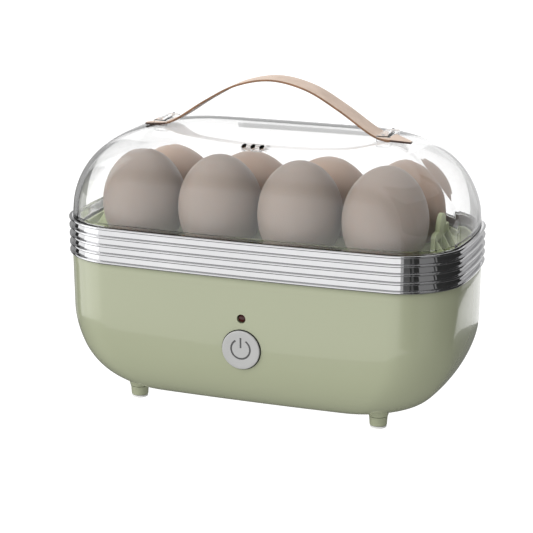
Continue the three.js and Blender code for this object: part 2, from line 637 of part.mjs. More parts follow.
function eggTray() {
  const plateTop = TRAY_Z + TRAY_PLATE;
  const rings = [insetRing(TRAY_INSET, TRAY_Z), insetRing(TRAY_INSET, TRAY_RIM_TOP),
    insetRing(TRAY_INSET + 1.6, TRAY_RIM_TOP), insetRing(TRAY_INSET + 1.6, plateTop)];
  let tray = toSolid(loft(rings));
  for (const [x, y] of cupSpots()) {
    const collar = post(x, y, CUP_BOTTOM, plateTop + CUP_LIP, CUP_RADIUS + CUP_WALL, CUP_SEGMENTS);
    const hole = post(x, y, CUP_BOTTOM - 1, plateTop + 1, CUP_RADIUS, CUP_SEGMENTS);
    tray = cut(tray.add(toSolid(collar)), hole);
  }
  for (const x of [-EGG_PITCH, 0, EGG_PITCH]) {
    tray = tray.subtract(toSolid(post(x, 0, TRAY_Z - 1, plateTop + 1, STEAM_HOLE_RADIUS, COARSE)));
  }
  for (const side of [-1, 1]) {
    tray = tray.add(trayHandle(side));
    for (const y of [-14.5, 0, 14.5]) tray = tray.add(toSolid(handleWeb(side, y)));
  }
  addMesh('egg_tray', toGeometry(tray), trayPlastic);
}

// ---- Lid, steam holes and strap handle --------------------------------------------------------
const VENT_PITCH = 5;
const VENT_RADIUS = 1.3;
const VENT_STRETCH = 2;
const VENT_X = 0.6;
const VENT_Y = -36;
const VENT_TILT = 0.42;             // lean of the hole's axis towards the front, radians

function ventCutter(x) {
  return new THREE.CylinderGeometry(VENT_RADIUS, VENT_RADIUS, 16, COARSE)
    .scale(1, 1, VENT_STRETCH).rotateX(Math.PI / 2 + VENT_TILT).rotateZ(0.12).translate(x, VENT_Y, 150);
}

function lid() {
  const outside = loafRings(LID_ROUND, 0, LOAF_LEVELS);
  const inside = loafRings({ ...LID_ROUND, edge: LID_BOTTOM + LID_FOOT }, LID_WALL, LOAF_LEVELS).reverse();
  const skirt = [insetRing(SKIRT_INNER_INSET, LID_BOTTOM), insetRing(SKIRT_INNER_INSET, SKIRT_BOTTOM),
    insetRing(SKIRT_OUTER_INSET, SKIRT_BOTTOM), insetRing(SKIRT_OUTER_INSET, LID_BOTTOM)];
  let dome = toSolid(loft([...inside, ...skirt, ...outside]));
  for (const i of [-1, 0, 1]) dome = dome.subtract(toSolid(ventCutter(VENT_X + i * VENT_PITCH)));
  addMesh('lid_dome', toGeometry(dome), clearPlastic);
}

// Thick sheet that follows a curve in the XZ plane; rearEdge(x) gives the y of its rear edge
function strapSheet(curve, steps, rearEdge) {
  const rings = [];
  for (let i = 0; i <= steps; i++) {
    const point = curve.getPoint(i / steps);
    const tangent = curve.getTangent(i / steps);
    const lift = new THREE.Vector3(-tangent.y, 0, tangent.x).multiplyScalar(STRAP_THICK / 2);
    const [front, rear] = [-STRAP_WIDTH / 2, rearEdge(point.x)];
    const corner = (y, sign) => new THREE.Vector3(point.x + sign * lift.x, y, point.y + sign * lift.z);
    rings.push([corner(rear, -1), corner(rear, 1), corner(front, 1), corner(front, -1)]);
  }
  return loft(rings);
}

// The strap's ends are cut at a slant: the rear edge runs across to a narrow tip at the front
function strapRearEdge(x) {
  const travel = Math.max(0, Math.abs(x - STRAP_SLIP) - STRAP_CUT_X) / (STRAP_TIP_X - STRAP_CUT_X);
  return STRAP_WIDTH / 2 - (STRAP_WIDTH - STRAP_TIP_WIDTH) * travel;
}

function strapHandle() {
  const right = [[20, 177], [38, 167.5], [54, 157], [61, STRAP_REST_Z + 0.8], [68, STRAP_REST_Z]];
  const left = right.map(([x, z]) => [-x, z]).reverse();
  const tip = (side) => [STRAP_SLIP + side * STRAP_TIP_X, STRAP_REST_Z - 0.4];
  const points = [tip(-1), ...left, [0, STRAP_TOP_Z], ...right, tip(1)];
  const arch = new THREE.SplineCurve(points.map(([x, z]) => new THREE.Vector2(x, z)));
  addMesh('handle_strap', strapSheet(arch, 60, strapRearEdge), leather);

  const inner = STRAP_WIDTH / 2 + 0.5;
  const outer = inner + LOOP_POST;
  const top = LOOP_UNDER + LOOP_BAR;
  for (const [label, side] of [['left', -1], ['right', 1]]) {
    const [x0, x1] = [side * LOOP_X - LOOP_HALF_X, side * LOOP_X + LOOP_HALF_X];
    const bridge = join(box(x0, x1, -outer, outer, LOOP_UNDER, top),
      box(x0, x1, -outer, -inner, LID_TOP + GAP, top), box(x0, x1, inner, outer, LID_TOP + GAP, top));
    addMesh(`strap_loop_${label}`, toGeometry(bridge), clearPlastic);
    for (const [end, y] of [['front', -1], ['rear', 1]]) {
      const pin = post(side * LOOP_X, y * (inner + outer) / 2, top + GAP, top + GAP + 0.5, 0.7, 12);
      addMesh(`loop_pin_${label}_${end}`, pin, steel);
    }
  }
}

baseHousing();
bottomCover();
feet();
chromeBand();
waterPan();
heater();
button();
buttonGuideAndSwitch();
circuitBoard();
indicator();
inlet();
wires();
eggTray();
lid();
strapHandle();

export default group;
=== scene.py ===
import json
import math

import bmesh
import bpy
from mathutils import Matrix, Vector

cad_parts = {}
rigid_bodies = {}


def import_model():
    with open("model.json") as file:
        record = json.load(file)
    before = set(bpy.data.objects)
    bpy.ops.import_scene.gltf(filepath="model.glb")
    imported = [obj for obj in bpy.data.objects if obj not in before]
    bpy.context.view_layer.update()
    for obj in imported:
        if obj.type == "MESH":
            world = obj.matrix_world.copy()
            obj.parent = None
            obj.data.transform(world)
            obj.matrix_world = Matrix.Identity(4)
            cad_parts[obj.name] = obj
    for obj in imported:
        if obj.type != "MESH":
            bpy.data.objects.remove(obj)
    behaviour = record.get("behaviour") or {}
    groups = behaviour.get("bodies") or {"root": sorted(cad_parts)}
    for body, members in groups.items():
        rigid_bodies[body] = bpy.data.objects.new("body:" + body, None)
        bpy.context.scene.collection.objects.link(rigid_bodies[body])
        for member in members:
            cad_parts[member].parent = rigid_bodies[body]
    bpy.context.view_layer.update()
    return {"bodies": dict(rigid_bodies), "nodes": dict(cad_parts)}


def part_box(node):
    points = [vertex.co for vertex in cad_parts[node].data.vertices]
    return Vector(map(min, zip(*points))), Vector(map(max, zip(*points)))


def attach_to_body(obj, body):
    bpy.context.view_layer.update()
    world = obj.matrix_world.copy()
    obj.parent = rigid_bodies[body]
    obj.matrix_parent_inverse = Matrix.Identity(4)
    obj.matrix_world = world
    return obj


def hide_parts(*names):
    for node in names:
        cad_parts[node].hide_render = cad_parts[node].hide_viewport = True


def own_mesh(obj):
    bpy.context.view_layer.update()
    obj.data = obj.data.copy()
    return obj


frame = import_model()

MM = 0.001
nodes = frame["nodes"]
bodies = frame["bodies"]

# ---- Sizes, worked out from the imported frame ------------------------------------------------
FRONT_BOW = 3.0 * MM            # bulge of the long sides at their middle
END_BOW = 6.8 * MM              # bulge of the short ends at their middle
CORNER = 27.5 * MM              # plan corner radius at the ribs

band_low, band_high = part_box("chrome_band")
housing_low, housing_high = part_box("base_housing")
lid_low, lid_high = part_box("lid_dome")
pan_low, pan_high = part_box("water_pan")
tray_low, tray_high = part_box("egg_tray")
button_low, button_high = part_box("power_button")
lens_low, lens_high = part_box("indicator_lens")
cover_low, cover_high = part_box("bottom_cover")
strap_low, strap_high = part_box("handle_strap")

HALF_LENGTH = band_high.x - END_BOW
HALF_WIDTH = band_high.y - FRONT_BOW
BASE_TOP = band_low.z - 0.3 * MM
FRONT_Y = button_low.y + 1.3 * MM
BUTTON_Z = (button_low.z + button_high.z) / 2
LED_Z = (lens_low.z + lens_high.z) / 2
PAN_TOP = pan_high.z
TRAY_Z = PAN_TOP + 0.3 * MM
PLATE_TOP = TRAY_Z + 2.2 * MM

BASE_INSET = 1.5 * MM
BASE_WALL = 2.4 * MM
LID_INSET = 2.1 * MM
LID_WALL = 2.0 * MM
EGG_PITCH = 46.3 * MM
EGG_ROW_Y = 23.0 * MM
CUP_RADIUS = 17.0 * MM          # inside of the collar that an egg stands in

# Rounding of the base (down) and the lid (up): quarter superellipses in the XZ and YZ planes
BASE_ROUND = dict(edge=BASE_TOP, flat=housing_low.z, draft=0.008, inset=BASE_INSET,
                  end=(51 * MM, 35 * MM, 1.8), side=(34 * MM, 28 * MM, 2.4))
LID_ROUND = dict(edge=band_high.z + 0.3 * MM, flat=lid_high.z, draft=0.06, inset=LID_INSET,
                 end=(109 * MM, 39.5 * MM, 1.9), side=(126 * MM, 25 * MM, 2.8))


# ---- Mesh helpers ---------------------------------------------------------------------------
def plan_ring(half_length, half_width, corner, z):
    """One closed ring of the body's plan: a rounded rectangle with bowed sides and ends."""
    corner_steps, side_steps, end_steps = 12, 16, 8
    radius = min(corner, half_length - 0.5 * MM, half_width - 0.5 * MM)
    centres = [(1, 1), (-1, 1), (-1, -1), (1, -1)]
    flat = []
    for quarter, (sx, sy) in enumerate(centres):
        cx, cy = sx * (half_length - radius), sy * (half_width - radius)
        for i in range(corner_steps + 1):
            angle = (quarter + i / corner_steps) * math.pi / 2
            flat.append((cx + radius * math.cos(angle), cy + radius * math.sin(angle)))
        nx, ny = centres[(quarter + 1) % 4]
        x0, y0 = flat[-1]
        on_long_side = quarter % 2 == 0
        x1 = nx * (half_length - radius) if on_long_side else x0
        y1 = y0 if on_long_side else ny * (half_width - radius)
        steps = side_steps if on_long_side else end_steps
        for i in range(1, steps):
            flat.append((x0 + (x1 - x0) * i / steps, y0 + (y1 - y0) * i / steps))
    end_bow, front_bow = END_BOW / HALF_LENGTH, FRONT_BOW / HALF_WIDTH
    return [Vector((x * (1 + end_bow * (1 - (y / half_width) ** 2)),
                    y * (1 + front_bow * (1 - (x / half_length) ** 2)), z)) for x, y in flat]


def inset_ring(inset, z):
    """Ring of the plan, moved inwards from the ribs' outside."""
    return plan_ring(HALF_LENGTH - inset, HALF_WIDTH - inset, CORNER - inset, z)


def rounding(z, start, flat, radius, power):
    """How far a quarter superellipse has come in at height z, on its way from start to flat."""
    travel = min(max((z - start) / (flat - start), 0), 1)
    return radius * (1 - (1 - travel ** power) ** (1 / power))


def loaf_rings(shape, wall, levels, edge=None):
    """Rings of a loaf-shaped skin from its edge to its flat, moved inwards by wall."""
    first = shape["edge"] if edge is None else edge
    sense = 1 if shape["flat"] > shape["edge"] else -1
    flat = shape["flat"] - sense * wall
    end_start, end_radius, end_power = shape["end"]
    side_start, side_radius, side_power = shape["side"]
    straight = 6
    heights = [first + (end_start - first) * i / straight for i in range(straight)]
    for i in range(levels + 1):
        heights.append(end_start + (flat - end_start) * math.sin(i / levels * math.pi / 2))
    rings = []
    for z in heights:
        draft = shape["draft"] * abs(z - shape["edge"]) + wall + shape["inset"]
        end = rounding(z, end_start, flat, end_radius, end_power)
        side = rounding(z, side_start, flat, side_radius, side_power)
        rings.append(plan_ring(HALF_LENGTH - draft - end, HALF_WIDTH - draft - side,
                               CORNER - shape["inset"] - wall, z))
    return rings


def cap_rings(ring, steps):
    """Ever smaller copies of a flat ring, so that its cap is made of even quads."""
    z = ring[0].z
    return [[Vector((p.x * (1 - i / steps), p.y * (1 - i / steps), z)) for p in ring]
            for i in range(1, steps)]


def fillet(points, radii, steps=4, closed=False):
    """Rounds the corners of a 2D profile; radii is one radius or one per point."""
    count = len(points)
    radii = radii if isinstance(radii, (list, tuple)) else [radii] * count
    rounded = []
    for i, point in enumerate(points):
        p = Vector(point)
        if radii[i] <= 0 or (not closed and i in (0, count - 1)):
            rounded.append(p)
            continue
        before, after = Vector(points[i - 1]) - p, Vector(points[(i + 1) % count]) - p
        angle = before.angle(after)
        reach = min(radii[i] / math.tan(angle / 2), before.length * 0.49, after.length * 0.49)
        start, end = p + before.normalized() * reach, p + after.normalized() * reach
        for k in range(steps + 1):
            t = k / steps
            rounded.append(start.lerp(p, t).lerp(p.lerp(end, t), t))
    return rounded


def mesh_object(name, vertices, faces, sharp_angle=40):
    mesh = bpy.data.meshes.new(name)
    mesh.from_pydata([tuple(v) for v in vertices], [], faces)
    edit = bmesh.new()
    edit.from_mesh(mesh)
    bmesh.ops.remove_doubles(edit, verts=edit.verts, dist=1e-7)
    bmesh.ops.recalc_face_normals(edit, faces=edit.faces)
    edit.to_mesh(mesh)
    edit.free()
    piece = bpy.data.objects.new(name, mesh)
    bpy.context.scene.collection.objects.link(piece)
    smooth(piece, sharp_angle)
    return piece


def smooth(piece, sharp_angle=40):
    piece.data.shade_smooth()
    piece.data.set_sharp_from_angle(angle=math.radians(sharp_angle))


def loft(name, rings, closed=False, sharp_angle=40):
    """Skin through rings of equal count. An open skin is capped at both ends."""
    count = len(rings[0])
    vertices = [p for ring in rings for p in ring]
    faces = []
    for i in range(len(rings) if closed else len(rings) - 1):
        low, high = i * count, ((i + 1) % len(rings)) * count
        for j in range(count):
            k = (j + 1) % count
            faces.append((low + j, low + k, high + k, high + j))
    if not closed:
        faces.append(tuple(reversed(range(count))))
        faces.append(tuple(range((len(rings) - 1) * count, len(rings) * count)))
    return mesh_object(name, vertices, faces, sharp_angle)


def turned(name, profile, centre=(0, 0, 0), axis="Z", segments=64, closed=False):
    """Solid of revolution. The profile holds (radius, height) pairs along the axis."""
    vertices, faces = [], []
    count = len(profile)
    for i in range(segments):
        angle = 2 * math.pi * i / segments
        c, s = math.cos(angle), math.sin(angle)
        for radius, height in profile:
            spot = (radius * c, radius * s, height) if axis == "Z" else (radius * c, height, -radius * s)
            vertices.append(Vector(spot) + Vector(centre))
    for i in range(segments):
        a, b = i * count, ((i + 1) % segments) * count
        for j in range(count if closed else count - 1):
            k = (j + 1) % count
            faces.append((a + j, b + j, b + k, a + k))
    piece = mesh_object(name, vertices, faces)
    edit = bmesh.new()
    edit.from_mesh(piece.data)
    bmesh.ops.dissolve_degenerate(edit, dist=1e-8, edges=edit.edges)
    edit.to_mesh(piece.data)
    edit.free()
    smooth(piece)
    return piece


def block(name, low, high, bevel=0.0, segments=3):
    """Box between two corners with rounded edges."""
    corners = [(x, y, z) for x in (low[0], high[0]) for y in (low[1], high[1]) for z in (low[2], high[2])]
    faces = [(0, 1, 3, 2), (4, 6, 7, 5), (0, 4, 5, 1), (2, 3, 7, 6), (0, 2, 6, 4), (1, 5, 7, 3)]
    piece = mesh_object(name, corners, faces, 30)
    if bevel:
        soften(piece, bevel, segments)
    return piece


def slab(name, outline, z0, z1, bevel=0.0):
    """Flat plate from a plan outline of (x, y) points."""
    count = len(outline)
    vertices = [(x, y, z0) for x, y in outline] + [(x, y, z1) for x, y in outline]
    faces = [tuple(reversed(range(count))), tuple(range(count, 2 * count))]
    faces += [(i, (i + 1) % count, count + (i + 1) % count, count + i) for i in range(count)]
    piece = mesh_object(name, vertices, faces, 30)
    if bevel:
        soften(piece, bevel)
    return piece


def soften(piece, width, segments=3):
    """Rounds every edge sharper than 30 degrees and bakes the result into the mesh."""
    modifier = piece.modifiers.new("round", "BEVEL")
    modifier.width = width
    modifier.segments = segments
    modifier.limit_method = "ANGLE"
    modifier.angle_limit = math.radians(30)
    bake_modifiers(piece)
    smooth(piece, 35)


def bake_modifiers(piece):
    """Puts what the modifiers make into the mesh."""
    bpy.context.view_layer.update()
    evaluated = piece.evaluated_get(bpy.context.evaluated_depsgraph_get())
    baked = bpy.data.meshes.new_from_object(evaluated)
    piece.modifiers.clear()
    piece.data = baked


def combine(piece, tools, operation, sharp_angle=35):
    """Boolean of a piece with tool pieces, which are used up."""
    for tool in tools:
        modifier = piece.modifiers.new("combine", "BOOLEAN")
        modifier.operation = operation
        modifier.solver = "EXACT"
        modifier.object = tool
    bake_modifiers(piece)
    for tool in tools:
        bpy.data.objects.remove(tool)
    smooth(piece, sharp_angle)


def carve(piece, *tools, sharp_angle=35):
    combine(piece, tools, "DIFFERENCE", sharp_angle)


def rounded_rectangle(half_x, half_y, radius):
    steps, outline = 8, []
    for quarter, (sx, sy) in enumerate([(1, 1), (-1, 1), (-1, -1), (1, -1)]):
        for i in range(steps + 1):
            angle = (quarter + i / steps) * math.pi / 2
            outline.append((sx * (half_x - radius) + radius * math.cos(angle),
                            sy * (half_y - radius) + radius * math.sin(angle)))
    return outline


def rod(name, centre, radius, low, high, axis="Z", segments=48):
    return turned(name, [(0, low), (radius, low), (radius, high), (0, high)], centre, axis, segments)


# ---- Materials ------------------------------------------------------------------------------
def node_material(name):
    material = bpy.data.materials.new(name)
    material.use_nodes = True
    return material, material.node_tree, material.node_tree.nodes["Principled BSDF"]


def texture_noise(tree, scale, detail=4.0, stretch=(1, 1, 1)):
    """Noise that is fixed to the object it is on."""
    coordinates = tree.nodes.new("ShaderNodeTexCoord")
    mapping = tree.nodes.new("ShaderNodeMapping")
    mapping.inputs["Scale"].default_value = stretch
    noise = tree.nodes.new("ShaderNodeTexNoise")
    noise.inputs["Scale"].default_value = scale
    noise.inputs["Detail"].default_value = detail
    noise.inputs["Roughness"].default_value = 0.55
    tree.links.new(coordinates.outputs["Object"], mapping.inputs["Vector"])
    tree.links.new(mapping.outputs["Vector"], noise.inputs["Vector"])
    return noise


def vary_colour(tree, shader, noise, dark, light, low=0.35, high=0.65):
    ramp = tree.nodes.new("ShaderNodeValToRGB")
    ramp.color_ramp.elements[0].position = low
    ramp.color_ramp.elements[1].position = high
    ramp.color_ramp.elements[0].color = (*dark, 1)
    ramp.color_ramp.elements[1].color = (*light, 1)
    tree.links.new(noise.outputs["Fac"], ramp.inputs["Fac"])
    tree.links.new(ramp.outputs["Color"], shader.inputs["Base Color"])


def vary_roughness(tree, shader, noise, low, high):
    spread = tree.nodes.new("ShaderNodeMapRange")
    spread.inputs["From Min"].default_value = 0.3
    spread.inputs["From Max"].default_value = 0.7
    spread.inputs["To Min"].default_value = low
    spread.inputs["To Max"].default_value = high
    tree.links.new(noise.outputs["Fac"], spread.inputs["Value"])
    tree.links.new(spread.outputs["Result"], shader.inputs["Roughness"])


def add_bump(tree, shader, noise, depth, strength=1.0):
    bump = tree.nodes.new("ShaderNodeBump")
    bump.inputs["Strength"].default_value = strength
    bump.inputs["Distance"].default_value = depth
    tree.links.new(noise.outputs["Fac"], bump.inputs["Height"])
    tree.links.new(bump.outputs["Normal"], shader.inputs["Normal"])


def plastic(name, dark, light, rough=(0.2, 0.3), grain=900, depth=0.004 * MM, coat=0.0, coat_rough=0.05):
    material, tree, shader = node_material(name)
    vary_colour(tree, shader, texture_noise(tree, 14, 2), dark, light, 0.2, 0.8)
    vary_roughness(tree, shader, texture_noise(tree, 60, 2), *rough)
    add_bump(tree, shader, texture_noise(tree, grain, 3), depth)
    shader.inputs["Coat Weight"].default_value = coat
    shader.inputs["Coat Roughness"].default_value = coat_rough
    return material


def eggshell(name, dark, light):
    """Matt shell that light soaks into a little, so its shaded side stays warm."""
    material = plastic(name, dark, light, (0.38, 0.5), 1800, 0.02 * MM)
    shader = material.node_tree.nodes["Principled BSDF"]
    shader.inputs["Subsurface Weight"].default_value = 0.5
    shader.inputs["Subsurface Radius"].default_value = (1.0, 0.55, 0.4)
    shader.inputs["Subsurface Scale"].default_value = 14 * MM
    return material


def metal(name, dark, light, rough=(0.2, 0.3), grain=600, depth=0.003 * MM, stretch=(1, 1, 1)):
    material, tree, shader = node_material(name)
    vary_colour(tree, shader, texture_noise(tree, 30, 4, stretch=stretch), dark, light)
    vary_roughness(tree, shader, texture_noise(tree, 90, 5, stretch=stretch), *rough)
    add_bump(tree, shader, texture_noise(tree, grain, 4, stretch=stretch), depth)
    shader.inputs["Metallic"].default_value = 1.0
    return material


def clear_plastic(name, ior):
    """Refracting plastic that shadow rays and diffuse rays pass straight through."""
    material, tree, shader = node_material(name)
    shader.inputs["Base Color"].default_value = (1, 1, 1, 1)
    shader.inputs["Transmission Weight"].default_value = 1.0
    shader.inputs["IOR"].default_value = ior
    vary_roughness(tree, shader, texture_noise(tree, 25, 4), 0.0, 0.02)
    add_bump(tree, shader, texture_noise(tree, 18, 2), 0.01 * MM, 0.4)
    see_through = tree.nodes.new("ShaderNodeBsdfTransparent")
    see_through.inputs["Color"].default_value = (1, 1, 1, 1)
    path = tree.nodes.new("ShaderNodeLightPath")
    either = tree.nodes.new("ShaderNodeMath")
    either.operation = "MAXIMUM"
    mix = tree.nodes.new("ShaderNodeMixShader")
    tree.links.new(path.outputs["Is Shadow Ray"], either.inputs[0])
    tree.links.new(path.outputs["Is Diffuse Ray"], either.inputs[1])
    tree.links.new(either.outputs["Value"], mix.inputs["Fac"])
    tree.links.new(shader.outputs["BSDF"], mix.inputs[1])
    tree.links.new(see_through.outputs["BSDF"], mix.inputs[2])
    tree.links.new(mix.outputs["Shader"], tree.nodes["Material Output"].inputs["Surface"])
    return material


def leather(name, dark, light, rough=(0.5, 0.65), pebble=1400):
    """Leather with a pebbled grain of small cells over soft colour clouds."""
    material, tree, shader = node_material(name)
    vary_colour(tree, shader, texture_noise(tree, 120, 6), dark, light)
    vary_roughness(tree, shader, texture_noise(tree, 200, 4), *rough)
    coordinates = tree.nodes.new("ShaderNodeTexCoord")
    cells = tree.nodes.new("ShaderNodeTexVoronoi")
    cells.inputs["Scale"].default_value = pebble
    tree.links.new(coordinates.outputs["Object"], cells.inputs["Vector"])
    bump = tree.nodes.new("ShaderNodeBump")
    bump.inputs["Distance"].default_value = 0.05 * MM
    bump.inputs["Strength"].default_value = 0.6
    tree.links.new(cells.outputs["Distance"], bump.inputs["Height"])
    tree.links.new(bump.outputs["Normal"], shader.inputs["Normal"])
    shader.inputs["Sheen Weight"].default_value = 0.1
    return material


SAGE_DARK, SAGE_LIGHT = (0.247, 0.263, 0.176), (0.255, 0.271, 0.181)
body_plastic = plastic("sage_gloss", SAGE_DARK, SAGE_LIGHT, (0.22, 0.26), 700, 0.0015 * MM,
                       coat=0.6, coat_rough=0.03)
tray_plastic = plastic("sage_satin", (0.34, 0.38, 0.22), (0.38, 0.42, 0.25), (0.32, 0.42))
chrome = metal("bright_plating", (0.63, 0.63, 0.64), (0.67, 0.67, 0.68), (0.03, 0.07), 60, 0.004 * MM)
lid_clear = clear_plastic("clear_lid", 1.49)
loop_clear = clear_plastic("clear_loop", 1.2)
strap_face = leather("tan_leather", (0.455, 0.34, 0.265), (0.53, 0.405, 0.32))
strap_edge = leather("tan_leather_edge", (0.12, 0.06, 0.028), (0.20, 0.10, 0.048), (0.35, 0.5), 900)
strap_tip = leather("dark_leather_edge", (0.022, 0.009, 0.005), (0.05, 0.02, 0.01), (0.35, 0.5), 900)
button_silver = plastic("satin_silver", (0.28, 0.28, 0.275), (0.315, 0.315, 0.31), (0.25, 0.35), coat=0.2)
button_mark = plastic("silver_recess", (0.05, 0.05, 0.05), (0.08, 0.08, 0.08), (0.4, 0.5))
lens_red = plastic("red_lens", (0.012, 0.001, 0.001), (0.05, 0.003, 0.002), (0.08, 0.14))
pad_rubber = plastic("pale_rubber", (0.50, 0.50, 0.49), (0.58, 0.58, 0.57), (0.7, 0.85), 2500, 0.02 * MM)
silicone = plastic("silicone", (0.62, 0.62, 0.59), (0.70, 0.70, 0.67), (0.5, 0.65))
pan_steel = metal("brushed_steel", (0.52, 0.52, 0.53), (0.64, 0.64, 0.65), (0.22, 0.36), 700,
                  0.004 * MM, (0.05, 1, 1))
sheath = metal("oxidised_sheath", (0.10, 0.09, 0.085), (0.20, 0.19, 0.18), (0.4, 0.6))
zinc = metal("zinc_steel", (0.48, 0.48, 0.50), (0.60, 0.60, 0.62), (0.25, 0.4))
brass = metal("brass", (0.55, 0.38, 0.16), (0.68, 0.50, 0.24), (0.2, 0.35))
ceramic = plastic("phenolic", (0.68, 0.66, 0.60), (0.78, 0.76, 0.70), (0.5, 0.6))
black_plastic = plastic("black_plastic", (0.012, 0.012, 0.013), (0.022, 0.022, 0.024), (0.35, 0.5),
                        1500, 0.01 * MM)
board_green = plastic("solder_resist", (0.015, 0.09, 0.04), (0.025, 0.14, 0.06), (0.3, 0.4), coat=0.4)
wire_red = plastic("wire_red", (0.35, 0.03, 0.02), (0.45, 0.05, 0.04), (0.35, 0.5))
wire_blue = plastic("wire_blue", (0.02, 0.06, 0.25), (0.03, 0.09, 0.35), (0.35, 0.5))
# One eggshell in two shades: the back row's copy is lighter and warmer, painted light and bounce light that
# the lamps don't bring to the back eggs
front_shell = eggshell("eggshell_grey", (0.194, 0.16, 0.136), (0.234, 0.194, 0.166))
lit_back_shell = eggshell("eggshell_painted_light", (0.272, 0.194, 0.144), (0.318, 0.23, 0.174))

CAD_FINISHES = {
    "pan_seal": silicone, "heating_element": sheath, "element_clamp": zinc, "clamp_nut": zinc,
    "element_terminal": brass, "thermostat": ceramic, "thermal_fuse": zinc, "button_guide": black_plastic,
    "switch_body": black_plastic, "circuit_board": board_green, "board_screw": zinc,
    "relay": black_plastic, "led_lamp": ceramic, "inlet_pin": brass, "wire_live": wire_red,
    "wire_neutral": wire_blue, "wire_element_left": wire_red, "wire_element_right": wire_blue,
}


def finish_cad_nodes():
    """Gives every CAD node that stays its own procedural material."""
    for name, piece in nodes.items():
        for start, material in CAD_FINISHES.items():
            if name.startswith(start):
                dress(piece, material)


def dress(piece, *materials):
    """Gives a piece these materials in place of its own."""
    piece.data.materials.clear()
    for material in materials:
        piece.data.materials.append(material)


def place(piece, material, body, slot, *replaced):
    """Dresses a piece, lets it ride on its body and hides the CAD nodes it stands in for."""
    dress(piece, material)
    attach(piece, body, slot, *replaced)


def attach(piece, body, slot, *replaced):
    """What place does, for a piece that is already dressed."""
    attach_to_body(piece, body)
    if replaced:
        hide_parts(*replaced)


# ---- Base -----------------------------------------------------------------------------------
BUTTON_RADIUS = (button_high.x - button_low.x) / 2
FOOT_PLACES = ["front_left", "front_right", "rear_left", "rear_right"]


def middle(name):
    """Middle of a CAD node's box."""
    low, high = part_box(name)
    return (low + high) / 2


def base_shell():
    """Green shell with the openings for the button, indicator, bottom cover and inlet."""
    outside = loaf_rings(BASE_ROUND, 0, 30)
    outside = cap_rings(outside[-1], 5)[::-1] + outside[::-1]
    neck_out, neck_in = 3.6 * MM, 5.4 * MM
    neck = [(neck_out, BASE_TOP), (neck_out, housing_high.z), (neck_in, housing_high.z),
            (neck_in, BASE_TOP - 2 * MM)]
    lip = [inset_ring(BASE_INSET + 0.15 * MM, BASE_TOP)]
    lip += [inset_ring(inset, z) for inset, z in fillet(neck, 0.3 * MM)]
    edge_round = [inset_ring(BASE_INSET, BASE_TOP - 0.3 * MM)]
    inside = loaf_rings(BASE_ROUND, BASE_WALL, 16, BASE_TOP - 6 * MM)
    inside += cap_rings(inside[-1], 4)
    shell = loft("base_shell", outside[:-1] + edge_round + lip + inside, sharp_angle=50)
    button_hole, led_hole = BUTTON_RADIUS + 0.45 * MM, 2.5 * MM
    outer_y, inner_y = FRONT_Y - 4 * MM, FRONT_Y + 6 * MM
    half_x, half_y = (cover_high.x - cover_low.x) / 2, (cover_high.y - cover_low.y) / 2
    gap, ledge = 0.3 * MM, 8 * MM
    recess = rounded_rectangle(half_x + gap, half_y + gap, 8 * MM)
    opening = rounded_rectangle(half_x - ledge, half_y - ledge, 6 * MM)
    inlet_z, inlet_half_x, inlet_half_z = middle("inlet_socket").z, 12 * MM, 7.1 * MM
    carve(shell,
          rod("cut_button", (0, 0, BUTTON_Z), button_hole, outer_y, inner_y, "Y", 96),
          rod("cut_led", (0, 0, LED_Z), led_hole, outer_y, inner_y, "Y", 48),
          slab("cut_recess", recess, housing_low.z - 2 * MM, cover_high.z + gap),
          slab("cut_opening", opening, housing_low.z, housing_low.z + 6 * MM),
          block("cut_inlet", (-inlet_half_x, -FRONT_Y - 6 * MM, inlet_z - inlet_half_z),
                (inlet_half_x, -FRONT_Y + 3 * MM, inlet_z + inlet_half_z)),
          sharp_angle=40)
    place(shell, body_plastic, "base", "body", "base_housing")


def foot_collars():
    """Collar of the shell round each foot."""
    start, top = 6.7 * MM, housing_low.z + 6 * MM
    profile = fillet([(0, start), (5.3 * MM, start), (6.4 * MM, top), (0, top)], 0.25 * MM)
    for name in FOOT_PLACES:
        centre = middle("foot_" + name)
        collar = turned("foot_collar_" + name, profile, (centre.x, centre.y, 0))
        place(collar, body_plastic, "base", "body")


def feet():
    """Tapered feet, each with a pale pad under it."""
    top = 6.4 * MM
    for name in FOOT_PLACES:
        centre, start = middle("foot_" + name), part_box("foot_" + name)[0].z
        profile = fillet([(0, start), (4.7 * MM, start), (5.0 * MM, top - 0.6 * MM), (5.2 * MM, top),
                          (0, top)], 0.2 * MM)
        foot = turned("foot_turned_" + name, profile, (centre.x, centre.y, 0))
        place(foot, body_plastic, "base", "body", "foot_" + name)
        pad_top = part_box("foot_pad_" + name)[1].z
        pad_profile = fillet([(0, 0), (4.5 * MM, 0), (4.6 * MM, pad_top), (0, pad_top)], 0.4 * MM)
        pad = turned("pad_turned_" + name, pad_profile, (centre.x, centre.y, 0))
        place(pad, pad_rubber, "base", "foot_pad", "foot_pad_" + name)


def bottom_cover():
    """Cover with a blank recess for a label and four countersunk screws."""
    half_x, half_y = (cover_high.x - cover_low.x) / 2, (cover_high.y - cover_low.y) / 2
    outline = rounded_rectangle(half_x, half_y, 8 * MM)
    cover = slab("bottom_cover_plate", outline, cover_low.z, cover_high.z, 0.35 * MM)
    label_x, label_y, under = 22 * MM, 12 * MM, cover_low.z - 1 * MM
    tools = [block("cut_label", (-label_x, -label_y, under), (label_x, label_y, cover_low.z + 0.5 * MM))]
    for i in range(1, 5):
        centre = middle(f"cover_screw_{i}")
        hole = rod(f"cut_screw_{i}", (centre.x, centre.y, 0), 3.2 * MM, under, cover_low.z + 1 * MM)
        tools.append(hole)
    carve(cover, *tools)
    place(cover, body_plastic, "base", "body", "bottom_cover")
    for i in range(1, 5):
        cross_screw(i)


